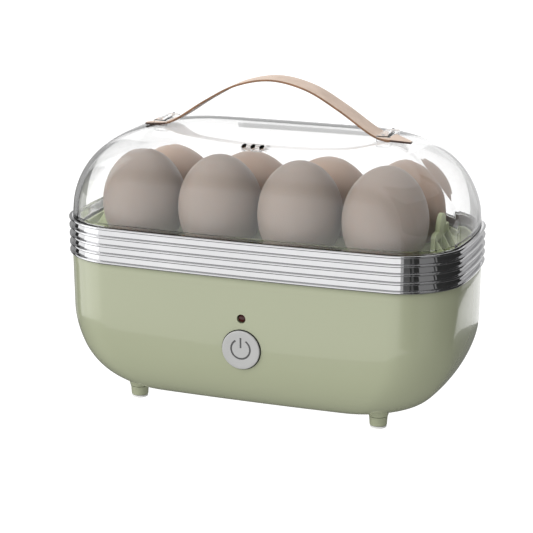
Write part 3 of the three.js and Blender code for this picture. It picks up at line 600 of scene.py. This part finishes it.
def cross_screw(i):
    """Countersunk screw with a cross recess."""
    low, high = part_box(f"cover_screw_{i}")
    centre, head_top = middle(f"cover_screw_{i}"), low.z + 0.9 * MM
    head, shank = 2.8 * MM, 1.3 * MM
    profile = fillet([(0, low.z), (2.3 * MM, low.z), (head, low.z + 0.6 * MM), (head, head_top),
                      (shank, head_top), (shank, high.z), (0, high.z)], 0.15 * MM)
    screw = turned(f"cross_screw_{i}", profile, (centre.x, centre.y, 0), segments=32)
    arm, thick, deep = 1.6 * MM, 0.35 * MM, 0.6 * MM
    cross = [block(f"cut_cross_{i}_{k}", (centre.x - x, centre.y - y, low.z - 1 * MM),
                   (centre.x + x, centre.y + y, low.z + deep))
             for k, (x, y) in enumerate([(arm, thick), (thick, arm)])]
    carve(screw, *cross)
    place(screw, zinc, "base", "steel", f"cover_screw_{i}")


def chrome_band():
    """Five thin proud ribs with flat faces between them."""
    ribs, rib_height, face = 5, 1.5 * MM, 1.8 * MM
    pitch = (band_high.z - band_low.z - rib_height) / (ribs - 1)
    under_rib, over_rib, root = 0.7 * MM, 0.4 * MM, 0.25 * MM        # corner radii
    back, back_radius = 3.2 * MM, 0.3 * MM
    profile, radii = [], []
    for i in range(ribs):
        z0 = band_low.z + i * pitch
        z1 = z0 + rib_height
        if i > 0:
            profile.append((face, z0))
            radii.append(root)
        profile += [(0, z0), (0, z1)]
        radii += [under_rib, over_rib]
        if i < ribs - 1:
            profile.append((face, z1))
            radii.append(root)
    profile += [(back, band_high.z), (back, band_low.z)]
    radii += [back_radius, back_radius]
    rings = [inset_ring(inset, z) for inset, z in fillet(profile, radii, 4, closed=True)]
    band = loft("trim_band", rings, closed=True, sharp_angle=60)
    place(band, chrome, "base", "chrome", "chrome_band")


def water_pan():
    """Drawn steel bowl with a flange on the housing's neck."""
    wall, sheet, corner, flange_edge = 7.8 * MM, 1.0 * MM, 7.0 * MM, 3.8 * MM
    under = pan_low.z
    flange = PAN_TOP - sheet
    section = [(wall + corner, under), (wall, under), (wall, flange), (flange_edge, flange),
               (flange_edge, PAN_TOP), (wall + sheet, PAN_TOP), (wall + sheet, under + sheet),
               (wall + corner, under + sheet)]
    radii = [0, corner * 0.9, 0.6 * MM, 0.3 * MM, 0.3 * MM, 1.2 * MM, corner * 0.8, 0]
    rings = [inset_ring(inset, z) for inset, z in fillet(section, radii, 6)]
    rings = cap_rings(rings[0], 4)[::-1] + rings + cap_rings(rings[-1], 4)
    pan = loft("water_pan_drawn", rings, sharp_angle=60)
    place(pan, pan_steel, "base", "pan", "water_pan")


# ---- Front controls ---------------------------------------------------------------------------
MARK_Z = BUTTON_Z + 0.5 * MM


def power_mark_cutters(face_y):
    """Ring with a gap at the top and an upright bar: the plain on/off symbol."""
    radius, stroke = 5.4 * MM, 1.0 * MM
    start_y, end_y = face_y - 2 * MM, face_y + 0.45 * MM
    half_gap, steps = math.radians(32), 40
    inner, outer = radius - stroke / 2, radius + stroke / 2
    vertices = []
    for i in range(steps + 1):
        angle = math.pi / 2 + half_gap + (2 * math.pi - 2 * half_gap) * i / steps
        for r, y in ((inner, start_y), (outer, start_y), (outer, end_y), (inner, end_y)):
            vertices.append((r * math.cos(angle), y, MARK_Z + r * math.sin(angle)))
    faces = [(0, 1, 2, 3), tuple(4 * steps + k for k in (3, 2, 1, 0))]
    for i in range(steps):
        a, b = 4 * i, 4 * (i + 1)
        faces += [(a + k, b + k, b + (k + 1) % 4, a + (k + 1) % 4) for k in range(4)]
    arc = mesh_object("cut_arc", vertices, faces)
    bar = block("cut_bar", (-stroke / 2, start_y, MARK_Z + 0.6 * MM), (stroke / 2, end_y, MARK_Z + 6.4 * MM))
    return arc, bar


def power_button():
    """Dished cap on a stem, with the sunk mark. Its side is painted black as the shadow in the gap round the
    cap.
    """
    front, back, stem_end = button_low.y, FRONT_Y + 2.4 * MM, button_high.y
    r, stem, dish, hollow = BUTTON_RADIUS, 2.2 * MM, 0.25 * MM, 1.2 * MM
    dish_edge, wall = r - 1.4 * MM, 2 * MM
    profile = [(i / 10 * dish_edge, front + dish * (1 - (i / 10) ** 2)) for i in range(10)]
    profile += fillet([(dish_edge, front), (r, front), (r, back), (r - wall, back), (r - wall, back - hollow),
                       (stem, back - hollow), (stem, stem_end), (0, stem_end)],
                      [0, 0.8 * MM, 0.2 * MM, 0, 0, 0, 0.2 * MM, 0], 5)
    button = turned("push_button", profile, (0, 0, BUTTON_Z), "Y", 128)
    carve(button, *power_mark_cutters(front), sharp_angle=30)
    dress(button, button_silver, button_mark, black_plastic)
    for face in button.data.polygons:
        depth = face.center.y - front
        across = math.hypot(face.center.x, face.center.z - BUTTON_Z)
        if 0.3 * MM < depth < 0.6 * MM and across < 7 * MM:
            face.material_index = 1
        # The cap's side faces get black: painted shadow of the gap round the button
        if across > r - 0.3 * MM and depth > 0.7 * MM:
            face.material_index = 2
    attach(button, "button", "button", "power_button")


def button_spring():
    """Coil behind the button."""
    low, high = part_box("button_spring")
    wire, steps, turns, travel = 0.35 * MM, 32, 3, 1.5 * MM
    length, radius, axis_z = high.y - low.y, (high.x - low.x) / 2 - wire, (low.z + high.z) / 2
    along = Vector((0, 1, 0))
    rings = []
    for i in range(steps * turns + 1):
        angle = 2 * math.pi * i / steps
        outward = Vector((math.cos(angle), 0, math.sin(angle)))
        y = low.y + wire + (length - 2 * wire) * i / (steps * turns)
        centre = Vector((0, y, axis_z)) + radius * outward
        round_wire = [k * math.pi / 5 for k in range(10)]
        rings.append([centre + wire * (math.cos(a) * outward + math.sin(a) * along) for a in round_wire])
    coil = loft("return_coil", rings)
    place(coil, zinc, "base", "steel", "button_spring")
    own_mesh(coil)


def indicator():
    """Small domed lens with a flange behind the wall."""
    front, flange_y = FRONT_Y + 0.5 * MM, FRONT_Y + 2.9 * MM
    radius, rise, flange = 2.2 * MM, 0.8 * MM, 3.2 * MM
    angles = [i / 8 * math.pi / 2 for i in range(9)]
    profile = [(radius * math.sin(a), front + rise * (1 - math.cos(a))) for a in angles]
    profile += [(radius, flange_y), (flange, flange_y), (flange, lens_high.y), (0, lens_high.y)]
    lens = turned("indicator_dome", profile, (0, 0, LED_Z), "Y", 48)
    place(lens, lens_red, "base", "lens", "indicator_lens")


def inlet():
    """Appliance inlet on the rear, with a hole for each pin."""
    low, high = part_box("inlet_socket")
    z, flange_y = (low.z + high.z) / 2, high.y - 1.5 * MM
    body_x, body_z, mouth_x, mouth_z = 11.7 * MM, 6.8 * MM, 9.9 * MM, 5 * MM
    pin_x, pin_hole = 4.3 * MM, 1.5 * MM
    flange = block("inlet_flange", (low.x, flange_y, low.z), (high.x, high.y, high.z), 1.2 * MM, 4)
    body = block("inlet_body", (-body_x, low.y, z - body_z),
                 (body_x, flange_y + 0.5 * MM, z + body_z), 0.6 * MM)
    combine(flange, [body], "UNION")
    mouth = block("cut_mouth", (-mouth_x, low.y + 2.5 * MM, z - mouth_z),
                  (mouth_x, high.y + 2 * MM, z + mouth_z), 2.4 * MM, 5)
    holes = [rod(f"cut_pin_{side}", (side * pin_x, 0, z), pin_hole, low.y - 1 * MM, low.y + 4 * MM, "Y", 24)
             for side in (-1, 1)]
    carve(flange, mouth, *holes)
    place(flange, black_plastic, "base", "black_plastic", "inlet_socket")


# ---- Egg tray ----------------------------------------------------------------------------------
def cup_centres():
    return [((column - 1.5) * EGG_PITCH, row * EGG_ROW_Y) for column in range(4) for row in (-1, 1)]


def tray_plate():
    """Plate with a raised rim, eight egg holes and three steam holes."""
    inset, rim, rim_top = 6.2 * MM, 1.6 * MM, 97 * MM
    inner = inset + 20 * MM
    section = [(inner, TRAY_Z), (inset, TRAY_Z), (inset, rim_top), (inset + rim, rim_top),
               (inset + rim, PLATE_TOP), (inner, PLATE_TOP)]
    radii = [0, 1.2 * MM, 0.7 * MM, 0.7 * MM, 1.0 * MM, 0]
    rings = [inset_ring(i, z) for i, z in fillet(section, radii, 5)]
    rings = cap_rings(rings[0], 3)[::-1] + rings + cap_rings(rings[-1], 3)
    plate = loft("tray_plate", rings, sharp_angle=60)
    low, high, egg_hole, steam_hole = TRAY_Z - 1 * MM, PLATE_TOP + 1 * MM, CUP_RADIUS + 0.8 * MM, 5 * MM
    holes = [rod(f"cut_cup_{i}", (x, y, 0), egg_hole, low, high, "Z", 64)
             for i, (x, y) in enumerate(cup_centres())]
    holes += [rod(f"cut_steam_{i}", (i * EGG_PITCH, 0, 0), steam_hole, low, high, "Z", 40)
              for i in (-1, 0, 1)]
    carve(plate, *holes)
    place(plate, tray_plastic, "tray", "tray", "egg_tray")


def tray_cups():
    """Short collar under each egg hole."""
    bottom, lip = tray_low.z, PLATE_TOP + 0.4 * MM
    outer = CUP_RADIUS + 1.5 * MM
    profile = fillet([(CUP_RADIUS, lip), (CUP_RADIUS, bottom), (outer, bottom), (outer, lip)],
                     [0.6 * MM, 0.4 * MM, 0.4 * MM, 0.3 * MM], 4, closed=True)
    for i, (x, y) in enumerate(cup_centres()):
        cup = turned(f"tray_cup_{i + 1}", profile, (x, y, 0), closed=True)
        place(cup, tray_plastic, "tray", "tray")


def tray_handles():
    """Upright lifting plates with two windows, three webs and a round-topped finger tab."""
    foot, shoulder, top = PLATE_TOP - 0.5 * MM, 106 * MM, tray_high.z
    half, tab = 18 * MM, 9 * MM
    end_x, web_end_x, web_gap = 95 * MM, 103 * MM, 14.5 * MM
    angles = [math.pi * k / 24 for k in range(25)]
    arc = [(tab * math.cos(a), top - tab + tab * math.sin(a)) for a in angles]
    corner_x, corner_z = half - 2 * MM, shoulder - 2 * MM
    outline = [(-half, foot), (half, foot), (half, corner_z), (corner_x, shoulder), (tab, shoulder)]
    outline += arc + [(-tab, shoulder), (-corner_x, shoulder), (-half, corner_z)]
    for label, side in (("left", -1), ("right", 1)):
        x = side * end_x
        plate = slab("tray_handle_" + label, outline, -1.2 * MM, 1.2 * MM)
        plate.data.transform(Matrix(((0, 0, 1, x), (1, 0, 0, 0), (0, 1, 0, 0), (0, 0, 0, 1))))
        windows = [block(f"cut_window_{k}", (x - 3 * MM, k * 9 * MM - 5 * MM, foot + 3 * MM),
                         (x + 3 * MM, k * 9 * MM + 5 * MM, shoulder - 4.5 * MM)) for k in (-1, 1)]
        carve(plate, *windows)
        soften(plate, 0.5 * MM)
        place(plate, tray_plastic, "tray", "tray")
        for k, y in enumerate((-web_gap, 0, web_gap)):
            x0, x1 = x + side * 0.9 * MM, side * web_end_x
            web_outline = [(x0, foot), (x1, foot), (x1, foot + 1 * MM), (x0, shoulder - 3 * MM)]
            web = slab(f"tray_web_{label}_{k + 1}", web_outline, -0.8 * MM, 0.8 * MM)
            web.data.transform(Matrix(((1, 0, 0, 0), (0, 0, 1, y), (0, 1, 0, 0), (0, 0, 0, 1))))
            soften(web, 0.35 * MM, 2)
            place(web, tray_plastic, "tray", "tray")


# ---- Lid and strap -------------------------------------------------------------------------------
def lid_dome():
    """Clear one-piece lid with a skirt inside the housing's neck and three oval steam holes."""
    edge, skirt_out, skirt_in = LID_ROUND["edge"], 3.7 * MM, 5.5 * MM
    outside = loaf_rings(LID_ROUND, 0, 34)
    outside += cap_rings(outside[-1], 6)
    inside = loaf_rings(LID_ROUND, LID_WALL, 34, edge + 1.2 * MM)
    inside += cap_rings(inside[-1], 6)
    skirt = fillet([(skirt_in, edge + 0.5 * MM), (skirt_in, lid_low.z), (skirt_out, lid_low.z),
                    (skirt_out, edge), (LID_INSET, edge)], 0.3 * MM, 3)
    rings = inside[::-1] + [inset_ring(inset, z) for inset, z in skirt[:-1]] + outside
    dome = loft("lid_shell", rings, sharp_angle=50)
    pitch, middle_x, row_y, radius, reach = 5 * MM, 0.6 * MM, -36 * MM, 1.3 * MM, 8 * MM
    lean = Matrix.Rotation(0.12, 4, "Z") @ Matrix.Rotation(0.42, 4, "X") @ Matrix.Diagonal((1, 2, 1, 1))
    vents = []
    for i in (-1, 0, 1):
        vent = rod(f"cut_vent_{i}", (0, 0, 0), radius, -reach, reach, "Z", 32)
        vent.data.transform(Matrix.Translation((middle_x + i * pitch, row_y, 150 * MM)) @ lean)
        vents.append(vent)
    carve(dome, *vents, sharp_angle=50)
    place(dome, lid_clear, "lid", "clear", "lid_dome")


def strap_centreline(samples):
    """Arch of the strap: a smooth curve from tip to tip through a few given points in mm."""
    top, tip_z = (0, 180.9), 152.4 * MM
    right = [(20, 177), (38, 167.5), (54, 157), (61, 153.6), (68, 152.8)]
    left = [(-x, z) for x, z in reversed(right)]
    points = [(x * MM, z * MM) for x, z in left + [top] + right]
    points = [(strap_low.x, tip_z)] + points + [(strap_high.x, tip_z)]
    curve = []
    for i in range(len(points) - 1):
        p0, p1 = Vector(points[max(i - 1, 0)]), Vector(points[i])
        p2, p3 = Vector(points[i + 1]), Vector(points[min(i + 2, len(points) - 1)])
        for k in range(samples):
            t = k / samples
            curve.append(0.5 * ((2 * p1) + (p2 - p0) * t + (2 * p0 - 5 * p1 + 4 * p2 - p3) * t ** 2
                                + (3 * p1 - p0 - 3 * p2 + p3) * t ** 3))
    curve.append(Vector(points[-1]))
    return curve


def handle_strap():
    """Leather strap: a rounded section carried along the arch, with ends cut at a slant."""
    half_thick, half_width, tip_width, cut_reach = 0.575 * MM, 8.0 * MM, 3.0 * MM, 64.5 * MM
    centre, tip_reach = (strap_low.x + strap_high.x) / 2, (strap_high.x - strap_low.x) / 2
    curve = strap_centreline(8)
    rings = []
    for i, point in enumerate(curve):
        ahead, behind = curve[min(i + 1, len(curve) - 1)], curve[max(i - 1, 0)]
        tangent = (ahead - behind).normalized()
        normal = Vector((-tangent.y, tangent.x))
        travel = min(max(0, abs(point.x - centre) - cut_reach) / (tip_reach - cut_reach), 1)
        front, rear = -half_width, half_width - (2 * half_width - tip_width) * travel
        section = fillet([(front, -half_thick), (rear, -half_thick), (rear, half_thick), (front, half_thick)],
                         0.6 * half_thick, 4, closed=True)
        rings.append([Vector((point.x + normal.x * t, y, point.y + normal.y * t)) for y, t in section])
    strap = loft("leather_strap", rings, sharp_angle=60)
    dress(strap, strap_face, strap_edge, strap_tip)
    for face in strap.data.polygons:
        if abs(face.normal.y) > 0.35 or abs(face.normal.x) > 0.9 or face.normal.z < -0.2:
            face.material_index = 2 if abs(face.center.x - centre) > cut_reach else 1
    attach(strap, "lid", "leather", "handle_strap")


def strap_loops():
    """Clear bridges over the strap's ends, each pinned to the lid at its two posts."""
    post, bar, over, pin_radius = 1.6 * MM, 0.9 * MM, 1 * MM, 0.7 * MM
    for label in ("left", "right"):
        low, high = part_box("strap_loop_" + label)
        loop = block("strap_bridge_" + label, low, high)
        slot = block("cut_slot_" + label, (low.x - over, low.y + post, low.z - over),
                     (high.x + over, high.y - post, high.z - bar))
        carve(loop, slot)
        soften(loop, 0.35 * MM)
        place(loop, loop_clear, "lid", "clear", "strap_loop_" + label)
        for end in ("front", "rear"):
            pin_low, pin_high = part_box(f"loop_pin_{label}_{end}")
            centre = (pin_low + pin_high) / 2
            profile = [(0, pin_low.z), (pin_radius, pin_low.z), (pin_radius, pin_high.z - 0.2 * MM),
                       (0.45 * MM, pin_high.z), (0, pin_high.z)]
            pin = turned(f"loop_rivet_{label}_{end}", profile, (centre.x, centre.y, 0), segments=24)
            place(pin, zinc, "lid", "steel", f"loop_pin_{label}_{end}")


# ---- Stage: the eggs it is shown with, floor, lights, camera --------------------------------------
def eggs():
    """Eggs stand in the cups as props. They follow the tray and aren't part of the cooker.

    widest is how far up an egg is at its widest, lean is in degrees, off_centre is in mm.
    """
    front = dict(top=142.3 * MM, radius=23.0 * MM, widest=0.49, lean=1.5, off_centre=(1.2, 0.0, -0.3, 0.9))
    back = dict(top=137.4 * MM, radius=23.3 * MM, widest=0.54, lean=0.0, off_centre=(-0.7, 1.1, 0.6, 0.2))
    bottom, steps = 84.4 * MM, 40
    for i, (x, y) in enumerate(cup_centres()):
        shape = front if y < 0 else back
        x += shape["off_centre"][i // 2] * MM
        top, radius = shape["top"], shape["radius"]
        widest = bottom + (top - bottom) * shape["widest"]
        profile = []
        for k in range(steps + 1):
            angle = math.pi * k / steps - math.pi / 2
            reach = (top - widest) if angle > 0 else (widest - bottom)
            profile.append((radius * math.cos(angle), widest + reach * math.sin(angle)))
        egg = turned(f"egg_{i + 1}", profile, (x, y, 0), segments=72)
        pivot = Matrix.Translation((x, y, widest))
        lean = Matrix.Rotation(math.radians(shape["lean"]), 4, "Y")
        egg.data.transform(pivot @ lean @ pivot.inverted())
        # The back row gets the lighter copy of the shell: painted light
        dress(egg, front_shell if y < 0 else lit_back_shell)
        egg.parent = bodies["tray"]


def glowing_material(name, dark, light, glow, scale=2):
    material, tree, shader = node_material(name)
    vary_colour(tree, shader, texture_noise(tree, scale, 2), (dark,) * 3, (light,) * 3)
    shader.inputs["Emission Color"].default_value = (1, 1, 1, 1)
    shader.inputs["Emission Strength"].default_value = glow
    return material, shader


def floor():
    """Pale floor that glows, so it is white to the horizon and still takes a faint shadow."""
    material, shader = glowing_material("studio_floor", 0.09, 0.11, 1.08, 3)
    shader.inputs["Roughness"].default_value = 0.9
    shader.inputs["Specular IOR Level"].default_value = 0.1
    size = 8.0
    corners = [(-size, -size, 0), (size, -size, 0), (size, size, 0), (-size, size, 0)]
    plane = mesh_object("floor", corners, [(0, 1, 2, 3)])
    plane.data.materials.append(material)


def show_in_mirrors_only(panel, through_lid=True):
    """Hides a stage card from all but reflections and, with through_lid, what shows through the lid."""
    panel.visible_camera = False
    panel.visible_diffuse = False
    panel.visible_shadow = False
    panel.visible_transmission = through_lid


def card(name, stations, glow=0.0, through_lid=True):
    """Upright panel through (x, y, low, high) stations in mm, black or glowing."""
    material, _ = glowing_material(name, 0.01, 0.015, glow)
    vertices = [(x * MM, y * MM, z * MM) for x, y, low, high in stations for z in (low, high)]
    faces = [(2 * i, 2 * i + 2, 2 * i + 3, 2 * i + 1) for i in range(len(stations) - 1)]
    panel = mesh_object(name, vertices, faces)
    panel.data.materials.append(material)
    show_in_mirrors_only(panel, through_lid)


def graded_card(name, line, height, glows):
    """Upright panel from the floor that glows by height: glows holds (z in mm, strength) pairs."""
    material, tree, shader = node_material(name)
    shader.inputs["Base Color"].default_value = (0, 0, 0, 1)
    spot, axes = tree.nodes.new("ShaderNodeTexCoord"), tree.nodes.new("ShaderNodeSeparateXYZ")
    scale, ramp = tree.nodes.new("ShaderNodeMapRange"), tree.nodes.new("ShaderNodeValToRGB")
    scale.inputs["From Max"].default_value = height * MM
    for i, (z, glow) in enumerate(glows):
        stop = ramp.color_ramp.elements[i] if i < 2 else ramp.color_ramp.elements.new(z / height)
        stop.position = z / height
        stop.color = (glow, glow, glow, 1)
    shader.inputs["Emission Strength"].default_value = 1
    tree.links.new(spot.outputs["Object"], axes.inputs["Vector"])
    tree.links.new(axes.outputs["Z"], scale.inputs["Value"])
    tree.links.new(scale.outputs["Result"], ramp.inputs["Fac"])
    tree.links.new(ramp.outputs["Color"], shader.inputs["Emission Color"])
    vertices = [(x * MM, y * MM, z * MM) for x, y in line for z in (0, height)]
    faces = [(2 * i, 2 * i + 2, 2 * i + 3, 2 * i + 1) for i in range(len(line) - 1)]
    panel = mesh_object(name, vertices, faces)
    panel.data.materials.append(material)
    show_in_mirrors_only(panel)


def level_card(name, half_x, half_y, z, glow):
    """Level panel with round corners, sizes in mm."""
    material, _ = glowing_material(name, 0.03, 0.04, glow)
    outline = rounded_rectangle(half_x * MM, half_y * MM, 120 * MM)
    panel = mesh_object(name, [(x, y, z * MM) for x, y in outline], [tuple(range(len(outline)))])
    panel.data.materials.append(material)
    show_in_mirrors_only(panel)


def sun(name, direction, energy, spread):
    """Soft light from a direction. Mirrors and clear pieces don't see it."""
    data = bpy.data.lights.new(name, "SUN")
    data.energy = energy
    data.angle = math.radians(spread)
    lamp = bpy.data.objects.new(name, data)
    lamp.rotation_mode = "QUATERNION"
    lamp.rotation_quaternion = Vector(direction).to_track_quat("Z", "Y")
    lamp.visible_glossy = False
    lamp.visible_transmission = False
    bpy.context.scene.collection.objects.link(lamp)


def front_cards(radius=228.3, height=300):
    """Dark and pale strips on an arc round the front right corner, given by azimuth in degrees."""
    bends = [33.5, 37.5, 45.5, 47.5, 49.8, 55.5, 70.9, 72.4, 74.0]
    glows = [0.45, 0.08, 0.0, 0.08, 0.0, 0.2, 0.0, 0.2]
    for i, glow in enumerate(glows):
        ends = [math.radians(bend) for bend in bends[i:i + 2]]
        stations = [(radius * math.sin(a), -radius * math.cos(a), 0, height) for a in ends]
        card(f"front_{i}", stations, glow, through_lid=False)


def studio():
    """Two soft suns, and plain cards that the trim band, the lid and the gloss mirror."""
    world = bpy.data.worlds.new("studio")
    bpy.context.scene.world = world
    world.use_nodes = True
    background = world.node_tree.nodes["Background"]
    background.inputs["Color"].default_value = (1.0, 1.0, 1.0, 1)
    background.inputs["Strength"].default_value = 0.4
    sun("key", (-0.45, -0.72, 0.53), 3.4, 60)
    sun("overhead", (-0.15, 0.2, 0.97), 1.3, 80)
    level_card("flag_floor", 225, 165, 0.4, 0.06)
    level_card("ceiling", 1200, 1200, 900, 0.9)
    graded_card("front_wash", [(-900, -420), (-450, -680), (330, -700)], 900,
                [(0, 1.5), (30, 1.3), (80, 0.85), (130, 0.55), (200, 0.38), (280, 0.38), (400, 0.6),
                 (560, 0.8), (900, 0.9)])
    front_cards()
    card("flag_right", [(220, -63, 0, 300), (228, -6, 0, 300), (212, 40, 0, 300), (201, 58, 15, 300),
                        (178, 88, 29, 300)], through_lid=False)
    card("flag_right_low", [(178, 88, 29, 46), (162, 107, 35, 46), (146, 125, 44, 46)], through_lid=False)
    card("grey_right", [(178, 88, 46, 300), (131, 139, 46, 300), (80, 175, 50, 300)], 0.55)
    card("grey_left", [(-165, 78, 0, 300), (-205, 16, 0, 300)], 0.35)
    card("flag_left", [(-205, 16, 0, 300), (-221, -9, 0, 300)])
    card("glow_left", [(-230, -60, 0, 300), (-190, -150, 0, 300)], 1.7)
    card("backdrop", [(-1550, 710, 0, 1300), (710, 1550, 0, 1300)], 1.0)
    card("flag_back", [(-438, 1083, 362, 399), (-269, 1145, 376, 413)], 0.85)
    card("flag_back_low", [(-438, 1083, 0, 60), (-269, 1145, 0, 60)], 0.2)


def camera():
    """A long lens, aimed from the front right and a little above."""
    azimuth, elevation = math.radians(20.4), math.radians(15.92)
    distance, aim_right, aim_up = 1.0175, -0.00483, 0.07199
    back = Vector((math.sin(azimuth) * math.cos(elevation), -math.cos(azimuth) * math.cos(elevation),
                   math.sin(elevation)))
    right = Vector((math.cos(azimuth), math.sin(azimuth), 0))
    up = right.cross(-back)
    target = right * aim_right + up * aim_up
    data = bpy.data.cameras.new("camera")
    data.lens = 120.65
    data.sensor_width = 36
    data.clip_start, data.clip_end = 0.05, 50
    view = bpy.data.objects.new("camera", data)
    view.location = target + back * distance
    view.rotation_mode = "QUATERNION"
    view.rotation_quaternion = (-back).to_track_quat("-Z", "Y")
    bpy.context.scene.collection.objects.link(view)
    bpy.context.scene.camera = view


finish_cad_nodes()
base_shell()
foot_collars()
feet()
bottom_cover()
chrome_band()
water_pan()
power_button()
button_spring()
indicator()
inlet()
tray_plate()
tray_cups()
tray_handles()
lid_dome()
handle_strap()
strap_loops()
eggs()
floor()
studio()
camera()

bpy.context.scene.view_settings.view_transform = "Standard"
bpy.context.scene.view_settings.look = "None"
